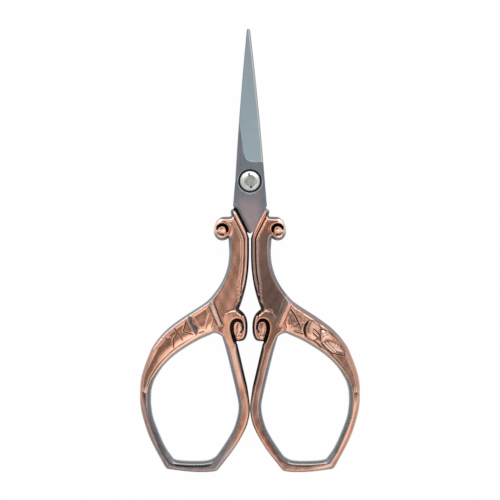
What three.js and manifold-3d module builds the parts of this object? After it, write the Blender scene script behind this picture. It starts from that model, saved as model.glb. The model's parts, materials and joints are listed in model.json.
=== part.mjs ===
// Embroidery scissors with scroll handles: two steel blades, each with its tang cast into a handle,
// turning on one pivot screw. Millimetres. The pieces are drawn round the pivot axis, with the tips
// along +Y and the front along +Z, and the whole is then set down on the plane that it lies on.
import * as THREE from "three";
import { mergeVertices } from "three/addons/utils/BufferGeometryUtils.js";
import Module from "manifold-3d";

const wasm = await Module();
wasm.setup();

// Blades
const bladeReach = 39.5; // pivot to tip
const bladeWidth = 7.7; // across the closed pair at the pivot
const bladeBow = 0.2; // how far the spine swells past a straight line
const tipWidth = 0.8; // across the closed pair
const bladeThickness = 1.5;
const bladeGap = 0.1; // between the two inner faces
const edgeInset = 0.25; // cutting edge to the spine of the blade behind it
const heelRadius = 7.85; // the blade's free heel, about the pivot
const heelDrop = 6.5; // pivot down to where the spine ends
const heelTurn = 0.16; // angle of the heel's arc
const veeDrop = 13.7; // pivot down to the point of the blade's root
const grindRun = 17; // pivot up to where the ground face meets the spine
const plungeRise = 5.2; // pivot up to the foot of the ground face
const plungeEdge = 0.57; // thickness of the edge there
const tipThickness = 0.25;

// Tang, cast into the handle
const tangWidth = 2.2;
const tangReach = 24; // pivot down to the tang's end
const postDrop = 21; // pivot down to the post that locks the tang
const postRadius = 0.5;
const castGap = 0.15; // between tang and casting, all round

// Pivot
const shankRadius = 1.5;
const boreClearance = 0.06; // radial, in both blades
const headRadius = 2.65;
const headRim = 0.5; // height of the head's straight side
const headDome = 0.4;
const counterboreClearance = 0.42; // radial, round the head
const counterboreDepth = 0.7;
const washerClearance = 0.15; // radial, inside the counterbore
const washerThickness = 0.25;
const runningGap = 0.04; // under the washer, under the head and behind the rear blade
const tailFlange = 0.6; // how far the peened end stands out past the shank
const tailHeight = 0.35;
const slotReach = 1.85; // centre to the ends of the driver slot
const slotWidth = 0.45;
const slotDepth = 0.45;
const slotTilt = 0.15; // angle off the length of the closed blades
const dishRadius = 1.5; // sunk middle of the head
const dishDepth = 0.22;

// Handles
const handleThickness = 4.8;
const edgeRound = 0.45; // rounding of the casting's edges
const tongueClearance = 0.5; // handle to the other blade's heel
const tongueWidth = 0.75;
const rootClearance = 0.75; // handle to the other blade's root, across
const shankGap = 0.44; // between the two closed handles
const shankWidth = 5.2; // at the waist
const waistDrop = 18; // pivot down to the waist
const bowGap = 0.3; // between the two closed bows
const bowTop = 32.5; // pivot down to the top of a bow
const bowLength = 43;
const bowWidth = 28.4;
const bowBand = 2.85; // width of the bow's metal
const crownDepth = 7; // top of the bow to the top of its finger hole

// Scrolls
const upperScrollX = 7.05; // centre of the upper scroll's eye, from the centre line
const upperScrollDrop = 12.85; // pivot down to it
const upperScrollRadius = 2.35;
const upperScrollOpening = 0.74; // how far it opens out into the shoulder, as a share of its radius
const upperScrollSag = 0.12; // how far it bulges below, as a share of its radius
const upperGrooveRadius = 1.45; // sunk curl round the eye
const upperGrooveWidth = 0.66;
const lowerScrollX = 2.75; // centre of the lower scroll
const lowerScrollDrop = 38.15;
const lowerScrollHalfWidth = 2.15;
const lowerScrollHalfHeight = 3.45;
const scrollWellDepth = 1.2;
const scrollGroove = 0.85; // width of the lower scroll's spiral
const slitDepth = 0.25; // of the nick between the lower scroll and the bow

// Relief, alike on both faces apart from the ornament
const reliefDepth = 0.3;
const ribInset = 1.1; // inner edge to the groove beside the rib
const ribGroove = 0.35;
const panelInset = 1.8; // inner edge to the sunk panel of the shank
const panelBevel = 1.4; // outer edge to that panel
const rimWidth = 1.1; // raised edge round the ornament
const bandWidth = 1.7; // the slanting band at its top
const bandFoot = 0.6; // and at its foot
const ornamentRise = 0.25; // bud and leaf above the sunk ground
const strokeWidth = 0.32; // cut lines
const strokeDepth = 0.2;

const roundSides = 48; // on what turns about the pivot

// Solids

function toSolid(geometry) {
  const bare = geometry.index ? geometry.toNonIndexed() : geometry.clone();
  bare.deleteAttribute("normal");
  bare.deleteAttribute("uv");
  const merged = mergeVertices(bare, 1e-4);
  return new wasm.Manifold(
    new wasm.Mesh({
      numProp: 3,
      vertProperties: merged.attributes.position.array,
      triVerts: new Uint32Array(merged.index.array),
    }),
  );
}

function toGeometry(solid) {
  const mesh = solid.getMesh();
  const geometry = new THREE.BufferGeometry();
  geometry.setAttribute("position", new THREE.BufferAttribute(mesh.vertProperties, 3));
  geometry.setIndex(new THREE.BufferAttribute(mesh.triVerts, 1));
  geometry.computeVertexNormals();
  return geometry;
}

// A flat outline between two heights, with its edges rounded where a radius is given.
function prism(outline, low, high, round = 0, holes = []) {
  const shape = new THREE.Shape(THREE.ShapeUtils.isClockWise(outline) ? [...outline].reverse() : outline);
  shape.holes = holes.map((hole) => new THREE.Path(hole));
  const geometry = new THREE.ExtrudeGeometry(shape, {
    depth: high - low - 2 * round,
    bevelEnabled: round > 0,
    bevelThickness: round,
    bevelSize: round,
    bevelOffset: -round,
    bevelSegments: 2,
  });
  return toSolid(geometry.translate(0, 0, low + round));
}

function cylinder(radius, low, high, x = 0, y = 0) {
  const geometry = new THREE.CylinderGeometry(radius, radius, high - low, roundSides);
  return toSolid(geometry.rotateX(Math.PI / 2).translate(x, y, (low + high) / 2));
}

// A profile of (radius, height) points turned about the Z axis.
function turned(profile) {
  return toSolid(new THREE.LatheGeometry(profile, roundSides).rotateX(Math.PI / 2));
}

// Outlines

const at = (x, y) => new THREE.Vector2(x, y);

function polar(radius, angle, x = 0, y = 0) {
  return at(x + radius * Math.cos(angle), y + radius * Math.sin(angle));
}

// A smooth line through a few points.
function smooth(points, steps = 4) {
  return new THREE.SplineCurve(points).getPoints(steps * (points.length - 1));
}

// A line that leaves its first point straight down and bends away to its last, faster for a higher power.
function flare(from, to, power, steps = 10) {
  return Array.from({ length: steps + 1 }, (_, i) => {
    const t = i / steps;
    return at(from.x + (to.x - from.x) * t ** power, from.y + (to.y - from.y) * t);
  });
}

// A line moved square to itself, to its left for a positive distance, which may change along it.
function beside(line, distance) {
  return line.map((point, i) => {
    const before = line[Math.max(i - 1, 0)];
    const after = line[Math.min(i + 1, line.length - 1)];
    const along = after.clone().sub(before).normalize();
    const reach = typeof distance === "function" ? distance(i / (line.length - 1)) : distance;
    return at(point.x - along.y * reach, point.y + along.x * reach);
  });
}

// A band along a line, of even width or narrowing to its end.
function stroke(line, width, endWidth = width) {
  const half = (t) => (width + (endWidth - width) * t) / 2;
  return [...beside(line, half), ...beside(line, (t) => -half(t)).reverse()];
}

// Where things stand

const innerFace = bladeGap / 2;
const frontFace = innerFace + bladeThickness;
const handleFace = handleThickness / 2;
const reliefFloor = handleFace - reliefDepth;
const boreRadius = shankRadius + boreClearance;
const counterboreRadius = headRadius + counterboreClearance;
const spineHalf = bladeWidth / 2;
const bowInner = bowGap / 2;
const shankInner = shankGap / 2;
const waistOuter = shankInner + shankWidth;

// Points of the bow, of its finger hole and of the lower scroll, as shares of their own sizes.
const bowAt = (u, v) => at(bowInner + u * bowWidth, -bowTop - v * bowLength);
const holeWidth = bowWidth - 2 * bowBand;
const holeLength = bowLength - crownDepth - bowBand;
const holeAt = (u, v) => at(bowInner + bowBand + u * holeWidth, -bowTop - crownDepth - v * holeLength);
const lowerScrollAt = (u, v) =>
  at(lowerScrollX + u * lowerScrollHalfWidth, -lowerScrollDrop + v * lowerScrollHalfHeight);

// The blade's root is a vee below the heel. The handle's slanting edge runs beside the other blade's root,
// up to a tongue that the other blade's heel swings past.
const heelAngle = -Math.asin(heelDrop / heelRadius);
const heelCorner = polar(heelRadius, heelAngle);
const rootTop = polar(heelRadius, heelAngle - heelTurn);
const rootPoint = at(0, -veeDrop);
const slantFoot = at(rootPoint.x + rootClearance, rootPoint.y + rootClearance / 2);
const slantWay = rootTop.clone().sub(rootPoint).normalize();
const tongueRadius = heelRadius + tongueClearance;
const slantDown = slantFoot.dot(slantWay);
const slantLength = -slantDown - Math.sqrt(slantDown ** 2 + tongueRadius ** 2 - slantFoot.lengthSq());
const slantTop = slantFoot.clone().addScaledVector(slantWay, slantLength);

// Blade

// One long side of a blade, from the tip down to the pivot.
function bladeSide(half, tipHalf, side) {
  const top = at(side * tipHalf, bladeReach);
  const foot = at(side * half, 0);
  const swell = at((top.x + foot.x) / 2 + side * 2 * bladeBow, bladeReach / 2);
  return new THREE.QuadraticBezierCurve(top, swell, foot).getPoints(12);
}

function bladeOutline() {
  const spine = bladeSide(spineHalf, tipWidth / 2, -1);
  const edge = bladeSide(spineHalf - edgeInset, tipWidth / 2 - edgeInset, 1);
  const heel = [0, 0.5, 1].map((t) => polar(heelRadius, Math.PI - heelAngle + t * heelTurn));
  const seat = [
    at(slantFoot.x - castGap, slantFoot.y),
    at(slantTop.x - castGap, slantTop.y),
    at(heelCorner.x - edgeInset, heelCorner.y),
  ];
  return [...spine, ...heel, rootPoint, ...seat, ...edge.reverse()];
}

const tangX = shankInner + shankWidth / 2;

// The tang's middle line, from inside the blade's root down the shank.
function tangLine(end) {
  const mouth = slantTop.clone().lerp(slantFoot, 0.5);
  return [at(mouth.x - tangWidth / 2, mouth.y), at(tangX, slantFoot.y - tangWidth), at(tangX, -end)];
}

// What grinding takes off the front face, from the spine across to the cutting edge and up to the tip.
function grinding() {
  const spine = new THREE.SplineCurve(bladeSide(spineHalf, tipWidth / 2, -1));
  const spineX = spine.getPoint(1 - grindRun / bladeReach).x;
  const onSpine = new THREE.Vector3(spineX, grindRun, frontFace);
  const onEdge = new THREE.Vector3(spineHalf - edgeInset, plungeRise, innerFace + plungeEdge);
  const onTip = new THREE.Vector3(0, bladeReach, innerFace + tipThickness);
  const plane = new THREE.Plane().setFromCoplanarPoints(onEdge, onTip, onSpine);
  const size = 4 * bladeReach;
  const room = new THREE.BoxGeometry(size, size, size).translate(0, 0, size / 2);
  room.applyQuaternion(new THREE.Quaternion().setFromUnitVectors(new THREE.Vector3(0, 0, 1), plane.normal));
  room.translate(onTip.x, onTip.y, onTip.z);
  const foot = smooth([
    at(-spineHalf, plungeRise + spineHalf),
    at(-0.4 * spineHalf, plungeRise + 0.4 * spineHalf),
    at(0.1 * spineHalf, plungeRise - 0.05 * spineHalf),
    at(0.4 * spineHalf, plungeRise),
    at(bladeWidth, plungeRise),
  ]);
  const top = 2 * bladeReach;
  const wheel = [at(-bladeWidth, foot[0].y), ...foot, at(bladeWidth, top), at(-bladeWidth, top)];
  return toSolid(room).intersect(prism(wheel, -size, size));
}

function blade(isFront) {
  const past = bladeThickness;
  let solid = prism(bladeOutline(), innerFace, frontFace)
    .subtract(grinding())
    .add(prism(stroke(tangLine(tangReach), tangWidth), innerFace, frontFace))
    .subtract(cylinder(postRadius + castGap, innerFace - past, frontFace + past, tangX, -postDrop))
    .subtract(cylinder(boreRadius, innerFace - past, frontFace + past));
  if (isFront) {
    solid = solid.subtract(cylinder(counterboreRadius, frontFace - counterboreDepth, frontFace + past));
  }
  return toGeometry(solid);
}

// Handle outline

// The upper scroll's edge: a circle round the eye that opens out into the shoulder.
function upperScroll() {
  const start = 1.86;
  const end = -2.2;
  const opening = 0.17; // angle where the circle starts to open
  const steps = 20;
  return Array.from({ length: steps + 1 }, (_, i) => {
    const angle = start + ((end - start) * i) / steps;
    const open = Math.max(0, (angle - opening) / (start - opening)) ** 1.6;
    const sag = upperScrollSag * Math.exp(-(((angle + Math.PI / 2) / 0.7) ** 2));
    const radius = upperScrollRadius * (1 + upperScrollOpening * open + sag);
    return polar(radius, angle, upperScrollX, -upperScrollDrop);
  });
}

function shankInnerLine() {
  return flare(at(shankInner, -waistDrop), lowerScrollAt(0.03, 1.43), 2.35);
}

function shankOuterLine() {
  return flare(at(waistOuter, -waistDrop), bowAt(0.441, 0), 2.2);
}

// The bow's outer side, from the shank round to its foot.
function bowOuterLine() {
  return smooth([
    bowAt(0.441, 0),
    bowAt(0.612, 0.068),
    bowAt(0.753, 0.14),
    bowAt(0.91, 0.283),
    bowAt(0.985, 0.42),
    bowAt(1, 0.54),
    bowAt(0.983, 0.645),
    bowAt(0.913, 0.79),
    bowAt(0.799, 0.935),
    bowAt(0.762, 0.975),
  ]);
}

function bowFoot() {
  return smooth([bowAt(0.74, 0.982), bowAt(0.55, 0.997), bowAt(0.4, 1), bowAt(0.31, 0.994)]);
}

// The bow's inner side, from its foot up to the lower scroll.
function bowInnerLine() {
  return smooth([
    bowAt(0.285, 0.985),
    bowAt(0.224, 0.935),
    bowAt(0.075, 0.79),
    bowAt(0.022, 0.71),
    bowAt(0, 0.621),
    bowAt(0.018, 0.5),
    bowAt(0.041, 0.427),
    bowAt(0.107, 0.234),
  ]);
}

function lowerScroll() {
  return smooth(
    [
      lowerScrollAt(0.24, -1),
      lowerScrollAt(-0.12, -1),
      lowerScrollAt(-0.6, -0.9),
      lowerScrollAt(-0.9, -0.55),
      lowerScrollAt(-1, -0.05),
      lowerScrollAt(-0.97, 0.42),
      lowerScrollAt(-0.82, 0.83),
      lowerScrollAt(-0.5, 1.15),
    ],
    2,
  );
}

function handleOutline() {
  const tongueTurn = tongueWidth / tongueRadius;
  const tongueAngle = slantTop.angle();
  const tongue = [0, 0.5, 1].map((t) => polar(tongueRadius, tongueAngle + t * tongueTurn));
  const tongueSide = polar(tongueRadius + tongueWidth, tongueAngle + 1.5 * tongueTurn);
  const slitTop = lowerScrollAt(0.35, -1.02);
  return [
    slantFoot,
    ...tongue,
    tongueSide,
    ...upperScroll(),
    ...shankOuterLine(),
    ...bowOuterLine().slice(1),
    ...bowFoot(),
    ...bowInnerLine(),
    at(slitTop.x, slitTop.y - slitDepth),
    slitTop,
    ...lowerScroll(),
    ...shankInnerLine().reverse(),
    at(shankInner, slantFoot.y - 2 * rootClearance),
  ];
}

function holeCrown() {
  return smooth([
    holeAt(0.2, 0.02),
    holeAt(0.27, 0),
    holeAt(0.338, 0.015),
    holeAt(0.487, 0.062),
    holeAt(0.703, 0.156),
    holeAt(0.852, 0.251),
    holeAt(0.946, 0.345),
    holeAt(1, 0.51),
  ]);
}

function fingerHole() {
  const rest = smooth([
    holeAt(1, 0.56),
    holeAt(0.966, 0.677),
    holeAt(0.854, 0.865),
    holeAt(0.78, 0.959),
    holeAt(0.725, 0.99),
    holeAt(0.556, 1),
    holeAt(0.385, 0.997),
    holeAt(0.3, 0.975),
    holeAt(0.245, 0.94),
    holeAt(0.116, 0.819),
    holeAt(0.04, 0.72),
    holeAt(0, 0.595),
    holeAt(0.018, 0.487),
    holeAt(0.116, 0.203),
    holeAt(0.175, 0.055),
  ]);
  return [...holeCrown(), ...rest];
}

// Handle relief, drawn for the front face

// The slanting band between shank and ornament, from the outer edge down to the top of the finger hole.
const bandTop = bowAt(0.345, -0.025);
const bandEnd = holeAt(0.21, -0.045);
const bandAcross = bandEnd.clone().sub(bandTop).normalize().rotateAround(at(0, 0), Math.PI / 2);
const bandSide = (end, width, side) => end.clone().addScaledVector(bandAcross, (side * width) / 2);

function shankPanel() {
  const inner = beside([slantTop, slantTop.clone().lerp(slantFoot, 0.5), slantFoot], panelInset).slice(1);
  const innerSide = beside(shankInnerLine(), panelInset).slice(0, -1);
  const outerSide = beside(shankOuterLine(), -panelBevel).slice(0, -2);
  const shoulder = at(waistOuter - panelBevel, -upperScrollDrop - upperScrollRadius);
  const foot = bandSide(bandTop.clone().lerp(bandEnd, 0.62), bandWidth, -1);
  return [...inner, ...innerSide, foot, ...outerSide.reverse(), shoulder];
}

function ornamentGround() {
  const outer = beside(bowOuterLine(), -rimWidth).slice(1, 21);
  const inner = beside(holeCrown(), rimWidth).slice(5, -2);
  const bandFootSide = bandSide(bandEnd, bandFoot, 1);
  const bandTopSide = bandSide(bandTop.clone().lerp(bandEnd, 0.2), bandWidth, 1);
  return [bandTopSide, ...outer, ...inner.reverse(), bandFootSide];
}

// The upper scroll's groove, a curl round the eye that is open where the eye joins the rim.
function curlGroove() {
  const turns = [-0.35, 0.1, 0.6, 1.1, 1.6, 2.1, 2.6, 3.1, 3.6, 3.95];
  const line = turns.map((turn) => polar(upperGrooveRadius, turn, upperScrollX, -upperScrollDrop));
  return stroke(line, upperGrooveWidth);
}

function spiralGroove() {
  const line = smooth(
    [
      lowerScrollAt(0.3, -1.26),
      lowerScrollAt(0.49, -1),
      lowerScrollAt(0.72, -0.6),
      lowerScrollAt(0.9, -0.01),
      lowerScrollAt(0.8, 0.36),
      lowerScrollAt(0.53, 0.55),
      lowerScrollAt(0.2, 0.6),
      lowerScrollAt(-0.12, 0.52),
      lowerScrollAt(-0.35, 0.36),
      lowerScrollAt(-0.45, 0.07),
      lowerScrollAt(-0.42, -0.13),
    ],
    2,
  );
  return stroke(line, scrollGroove, scrollGroove / 3);
}

function ribLine() {
  const slant = [slantTop, slantTop.clone().lerp(slantFoot, 0.5), slantFoot];
  return beside([...slant, ...shankInnerLine().slice(0, -1)], ribInset);
}

// The bud and the leaf that stand up from the ornament's ground on one face of a handle.
function budAndLeaf() {
  const bud = [
    bowAt(0.53, 0.11),
    bowAt(0.61, 0.105),
    bowAt(0.645, 0.16),
    bowAt(0.58, 0.21),
    bowAt(0.505, 0.19),
    bowAt(0.495, 0.14),
    bowAt(0.53, 0.11),
  ];
  const leaf = [
    bowAt(0.66, 0.145),
    bowAt(0.73, 0.165),
    bowAt(0.82, 0.235),
    bowAt(0.852, 0.285),
    bowAt(0.755, 0.28),
    bowAt(0.685, 0.245),
    bowAt(0.655, 0.19),
    bowAt(0.66, 0.145),
  ];
  return [bud, leaf].map((points) => smooth(points, 2).slice(0, -1));
}

// The cut lines on the other face, each as the points that it runs through.
function cutLines() {
  return [
    [bowAt(0.68, 0.135), bowAt(0.66, 0.16), bowAt(0.61, 0.203)],
    [bowAt(0.656, 0.163), bowAt(0.695, 0.203), bowAt(0.69, 0.25)],
    [bowAt(0.575, 0.09), bowAt(0.605, 0.151), bowAt(0.515, 0.17)],
    [bowAt(0.545, 0.07), bowAt(0.5, 0.13), bowAt(0.49, 0.167)],
    [bowAt(0.462, 0.163), bowAt(0.415, 0.151)],
  ];
}

// Everything sunk into one face, from the face plane inwards.
function sunk() {
  const over = handleFace + reliefDepth;
  const wellFloor = handleFace - scrollWellDepth;
  return prism(shankPanel(), reliefFloor, over)
    .add(prism(ornamentGround(), reliefFloor, over))
    .add(prism(stroke(ribLine(), ribGroove), reliefFloor, over))
    .add(prism(spiralGroove(), wellFloor, over))
    .add(prism(curlGroove(), wellFloor, over));
}

// Turns what is drawn for the front face over to the back, about the length of the scissors.
function toBack(solid) {
  return solid.mirror([0, 0, 1]);
}

function handle() {
  const socket = prism(
    stroke(tangLine(tangReach + castGap), tangWidth + 2 * castGap),
    innerFace - castGap,
    frontFace + castGap,
  ).subtract(cylinder(postRadius, -handleFace, handleFace, tangX, -postDrop));
  let solid = prism(handleOutline(), -handleFace, handleFace, edgeRound, [fingerHole()])
    .subtract(socket)
    .subtract(sunk())
    .subtract(toBack(sunk()));
  for (const raised of budAndLeaf()) {
    solid = solid.add(prism(raised, reliefFloor - reliefDepth, reliefFloor + ornamentRise));
  }
  for (const line of cutLines()) {
    solid = solid.subtract(
      toBack(prism(stroke(line, strokeWidth), reliefFloor - strokeDepth, handleFace + reliefDepth)),
    );
  }
  return toGeometry(solid);
}

// Pivot

const washerSeat = frontFace - counterboreDepth + runningGap;
const headSeat = washerSeat + washerThickness + runningGap;
const tailSeat = -frontFace - runningGap;

function pivotScrew() {
  const rim = headSeat + headRim;
  const top = rim + headDome;
  const dome = [0.4, 0.8, 1.2].map((turn) => at(headRadius * Math.cos(turn), rim + headDome * Math.sin(turn)));
  const body = turned([
    at(0, tailSeat - tailHeight),
    at(shankRadius + tailFlange / 2, tailSeat - tailHeight),
    at(shankRadius + tailFlange, tailSeat - tailHeight / 2),
    at(shankRadius + tailFlange, tailSeat),
    at(shankRadius, tailSeat),
    at(shankRadius, headSeat),
    at(headRadius, headSeat),
    at(headRadius, rim),
    ...dome,
    at(0, top),
  ]);
  const slot = new THREE.BoxGeometry(slotWidth, 2 * slotReach, 2 * slotDepth).rotateZ(slotTilt);
  const dish = new THREE.CylinderGeometry(1.2 * dishRadius, dishRadius, 2 * dishDepth, 6).rotateX(Math.PI / 2);
  return toGeometry(
    body.subtract(toSolid(slot.translate(0, 0, top))).subtract(toSolid(dish.translate(0, 0, top))),
  );
}

function pivotWasher() {
  const outer = counterboreRadius - washerClearance;
  return toGeometry(
    turned([
      at(boreRadius, washerSeat),
      at(outer, washerSeat),
      at(outer, washerSeat + washerThickness),
      at(boreRadius, washerSeat + washerThickness),
      at(boreRadius, washerSeat),
    ]),
  );
}

// Assembly

function piece(name, geometry, color, roughness) {
  const mesh = new THREE.Mesh(geometry, new THREE.MeshStandardMaterial({ color, roughness, metalness: 1 }));
  mesh.name = name;
  return mesh;
}

const steelGrey = 0x8f9fa6;
const screwSteel = 0xb8bcb8;
const blackSteel = 0x16181a;
const oldCopper = 0xa8765f;

const frontLever = new THREE.Group();
frontLever.add(piece("front_blade", blade(true), steelGrey, 0.32));
frontLever.add(piece("right_handle", handle(), oldCopper, 0.4));

// The other lever is the same shape turned over about the length, with a plain bore for the screw.
const rearLever = new THREE.Group();
rearLever.add(piece("rear_blade", blade(false), steelGrey, 0.32));
rearLever.add(piece("left_handle", handle(), oldCopper, 0.4));
rearLever.rotation.y = Math.PI;

const scissors = new THREE.Group();
scissors.add(frontLever, rearLever);
scissors.add(piece("pivot_screw", pivotScrew(), screwSteel, 0.3));
scissors.add(piece("pivot_washer", pivotWasher(), blackSteel, 0.6));

// Set down with the middle of the box's underside at the origin.
const box = new THREE.Box3().setFromObject(scissors);
const middle = box.getCenter(new THREE.Vector3());
scissors.position.set(-middle.x, -middle.y, -box.min.z);

export default scissors;
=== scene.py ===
import json
import math

import bmesh
import bpy
import numpy as np
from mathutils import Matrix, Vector
from mathutils.geometry import delaunay_2d_cdt
from mathutils.kdtree import KDTree

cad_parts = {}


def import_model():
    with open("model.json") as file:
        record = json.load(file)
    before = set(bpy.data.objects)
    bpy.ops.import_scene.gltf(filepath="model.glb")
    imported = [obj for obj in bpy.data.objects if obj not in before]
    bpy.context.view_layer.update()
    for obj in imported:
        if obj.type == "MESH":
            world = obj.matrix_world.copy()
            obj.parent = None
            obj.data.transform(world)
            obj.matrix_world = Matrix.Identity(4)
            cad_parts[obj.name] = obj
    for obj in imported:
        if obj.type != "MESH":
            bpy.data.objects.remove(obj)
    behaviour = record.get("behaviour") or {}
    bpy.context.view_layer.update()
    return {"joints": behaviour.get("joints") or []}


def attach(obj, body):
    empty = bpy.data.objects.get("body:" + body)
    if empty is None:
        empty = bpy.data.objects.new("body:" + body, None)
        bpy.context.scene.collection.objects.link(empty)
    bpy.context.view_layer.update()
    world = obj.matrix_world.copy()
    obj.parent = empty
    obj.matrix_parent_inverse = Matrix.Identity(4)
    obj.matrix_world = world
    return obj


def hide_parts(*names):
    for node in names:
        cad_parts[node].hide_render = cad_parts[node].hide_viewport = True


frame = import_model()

# Embroidery scissors. Everything is drawn in millimetres about the pivot, tips along +Y, front along +Z,
# and toFrame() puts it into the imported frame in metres.
scene = bpy.context.scene
pivot = np.array(frame["joints"][0]["pos_m"])
print("frame loaded, pivot at", pivot)


def toFrame(points):
    return np.asarray(points, float) / 1000 + pivot


def turnedOver(points):  # half a turn about the length: the rear lever's place
    return np.asarray(points, float) * (-1, 1, -1)


# Lines in the plan

def ramp(x):
    x = np.clip(x, 0, 1)
    return x * x * (3 - 2 * x)


def hump(x):
    return np.exp(-x * x)


def past(value, start, run):  # grows from 0 to 1 over a run beyond the start
    return ramp((value - start) / run)


def before(value, end, run):  # falls from 1 to 0 over a run up to the end
    return ramp((end - value) / run)


def near(value, level, width):
    return hump((value - level) / width)


def overZero(x, soft):  # x where it is positive, 0 below, with the corner eased
    return (x + np.sqrt(x * x + soft * soft)) / 2


def polar(radius, angle, middle=(0, 0)):
    return np.array((middle[0] + radius * math.cos(angle), middle[1] + radius * math.sin(angle)))


def ringOf(radius, sides=96):  # a circle about the pivot
    turns = np.linspace(0, 2 * math.pi, sides, endpoint=False)
    return radius * np.column_stack([np.cos(turns), np.sin(turns)])


def atHeight(points, z):
    return np.column_stack([points, np.broadcast_to(z, len(points))])


def smoothLine(points, steps=8):  # a smooth line through a few points
    pts = np.asarray(points, float)
    last = len(pts) - 1
    line = []
    for i in range(last):
        a, b, c, d = pts[max(i - 1, 0)], pts[i], pts[i + 1], pts[min(i + 2, last)]
        bend, sweep = 2 * a - 5 * b + 4 * c - d, 3 * b - a - 3 * c + d
        line += [(2 * b + (c - a) * t + bend * t ** 2 + sweep * t ** 3) / 2 for t in np.arange(steps) / steps]
    return np.array(line + [pts[-1]])


def smoothLoop(points, steps=8):
    pts = [tuple(p) for p in points]
    line = smoothLine(pts[-2:] + pts + pts[:2], steps)
    return line[2 * steps:-(steps + 1)]


def runAlong(line):  # how far along a line each of its points lies
    return np.concatenate([[0], np.cumsum(np.hypot(*np.diff(line, axis=0).T))])


def evenLine(points, step):  # the same line with its points an even step apart
    pts = np.asarray(points, float)
    run = runAlong(pts)
    at = np.linspace(0, run[-1], max(2, int(round(run[-1] / step)) + 1))
    return np.column_stack([np.interp(at, run, pts[:, i]) for i in (0, 1)])


def flare(start, end, power, steps=24):  # leaves its first point straight down and bends away to its last
    t = np.linspace(0, 1, steps + 1)
    return np.column_stack([start[0] + (end[0] - start[0]) * t ** power, start[1] + (end[1] - start[1]) * t])


def lineGap(points, line):  # distance to a line, and how far along it the nearest place lies
    line = np.asarray(line, float)
    run = runAlong(line)
    gap, along = np.full(len(points), 1e9), np.zeros(len(points))
    for i in range(len(line) - 1):
        way = line[i + 1] - line[i]
        t = np.clip(((points - line[i]) @ way) / max(way @ way, 1e-12), 0, 1)
        here = np.hypot(*(points - line[i] - t[:, None] * way).T)
        closer = here < gap
        gap = np.where(closer, here, gap)
        along = np.where(closer, (run[i] + t * (run[i + 1] - run[i])) / run[-1], along)
    return gap, along


def insideOf(points, loop):
    x, y = points[:, 0], points[:, 1]
    inside = np.zeros(len(points), bool)
    for (ax, ay), (bx, by) in zip(loop, np.roll(loop, -1, axis=0)):
        if ay != by:
            inside ^= ((ay > y) != (by > y)) & (x < (bx - ax) * (y - ay) / (by - ay) + ax)
    return inside


def depthIn(points, loop):  # distance in from a loop's edge, negative outside it
    loop = np.asarray(loop, float)
    gap = lineGap(points, np.vstack([loop, loop[:1]]))[0]
    return np.where(insideOf(points, loop), gap, -gap)


def loopGap(points, loop):  # distance to a finely stepped loop, and the nearest of its points
    tree = KDTree(len(loop))
    for i, p in enumerate(loop):
        tree.insert((p[0], p[1], 0), i)
    tree.balance()
    nearest = np.array([tree.find((x, y, 0))[1] for x, y in points])
    gap = np.full(len(points), 1e9)
    for turn in (-1, 0):
        a, b = loop[(nearest + turn) % len(loop)], loop[(nearest + turn + 1) % len(loop)]
        t = np.clip(((points - a) * (b - a)).sum(1) / np.maximum(((b - a) ** 2).sum(1), 1e-12), 0, 1)
        gap = np.minimum(gap, np.hypot(*(points - a - t[:, None] * (b - a)).T))
    return gap, nearest


def windLoop(loop, left=True):  # metal to the left of the way round
    area = np.sum(loop[:, 0] * np.roll(loop[:, 1], -1) - np.roll(loop[:, 0], -1) * loop[:, 1])
    return loop if (area > 0) == left else loop[::-1]


def stepAside(line, way, reach):
    way = way / np.maximum(np.hypot(*way.T), 1e-9)[:, None]
    return line + reach * np.column_stack([-way[:, 1], way[:, 0]])


def besideLoop(loop, reach):
    return stepAside(loop, np.roll(loop, -1, axis=0) - np.roll(loop, 1, axis=0), reach)


def besideLine(line, reach):
    return stepAside(line, np.gradient(np.asarray(line, float), axis=0), reach)


def aside(line, room, *reaches):  # groups of points for fillPlan, beside a line at each reach
    return [(besideLine(line, reach), room) for reach in reaches]


def hexGrid(low, high, step):
    rows = []
    for i, y in enumerate(np.arange(low[1], high[1], step * 0.866)):
        x = np.arange(low[0] + (i % 2) * step / 2, high[0], step)
        rows.append(np.column_stack([x, np.full(len(x), y)]))
    return np.vstack(rows)


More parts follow.
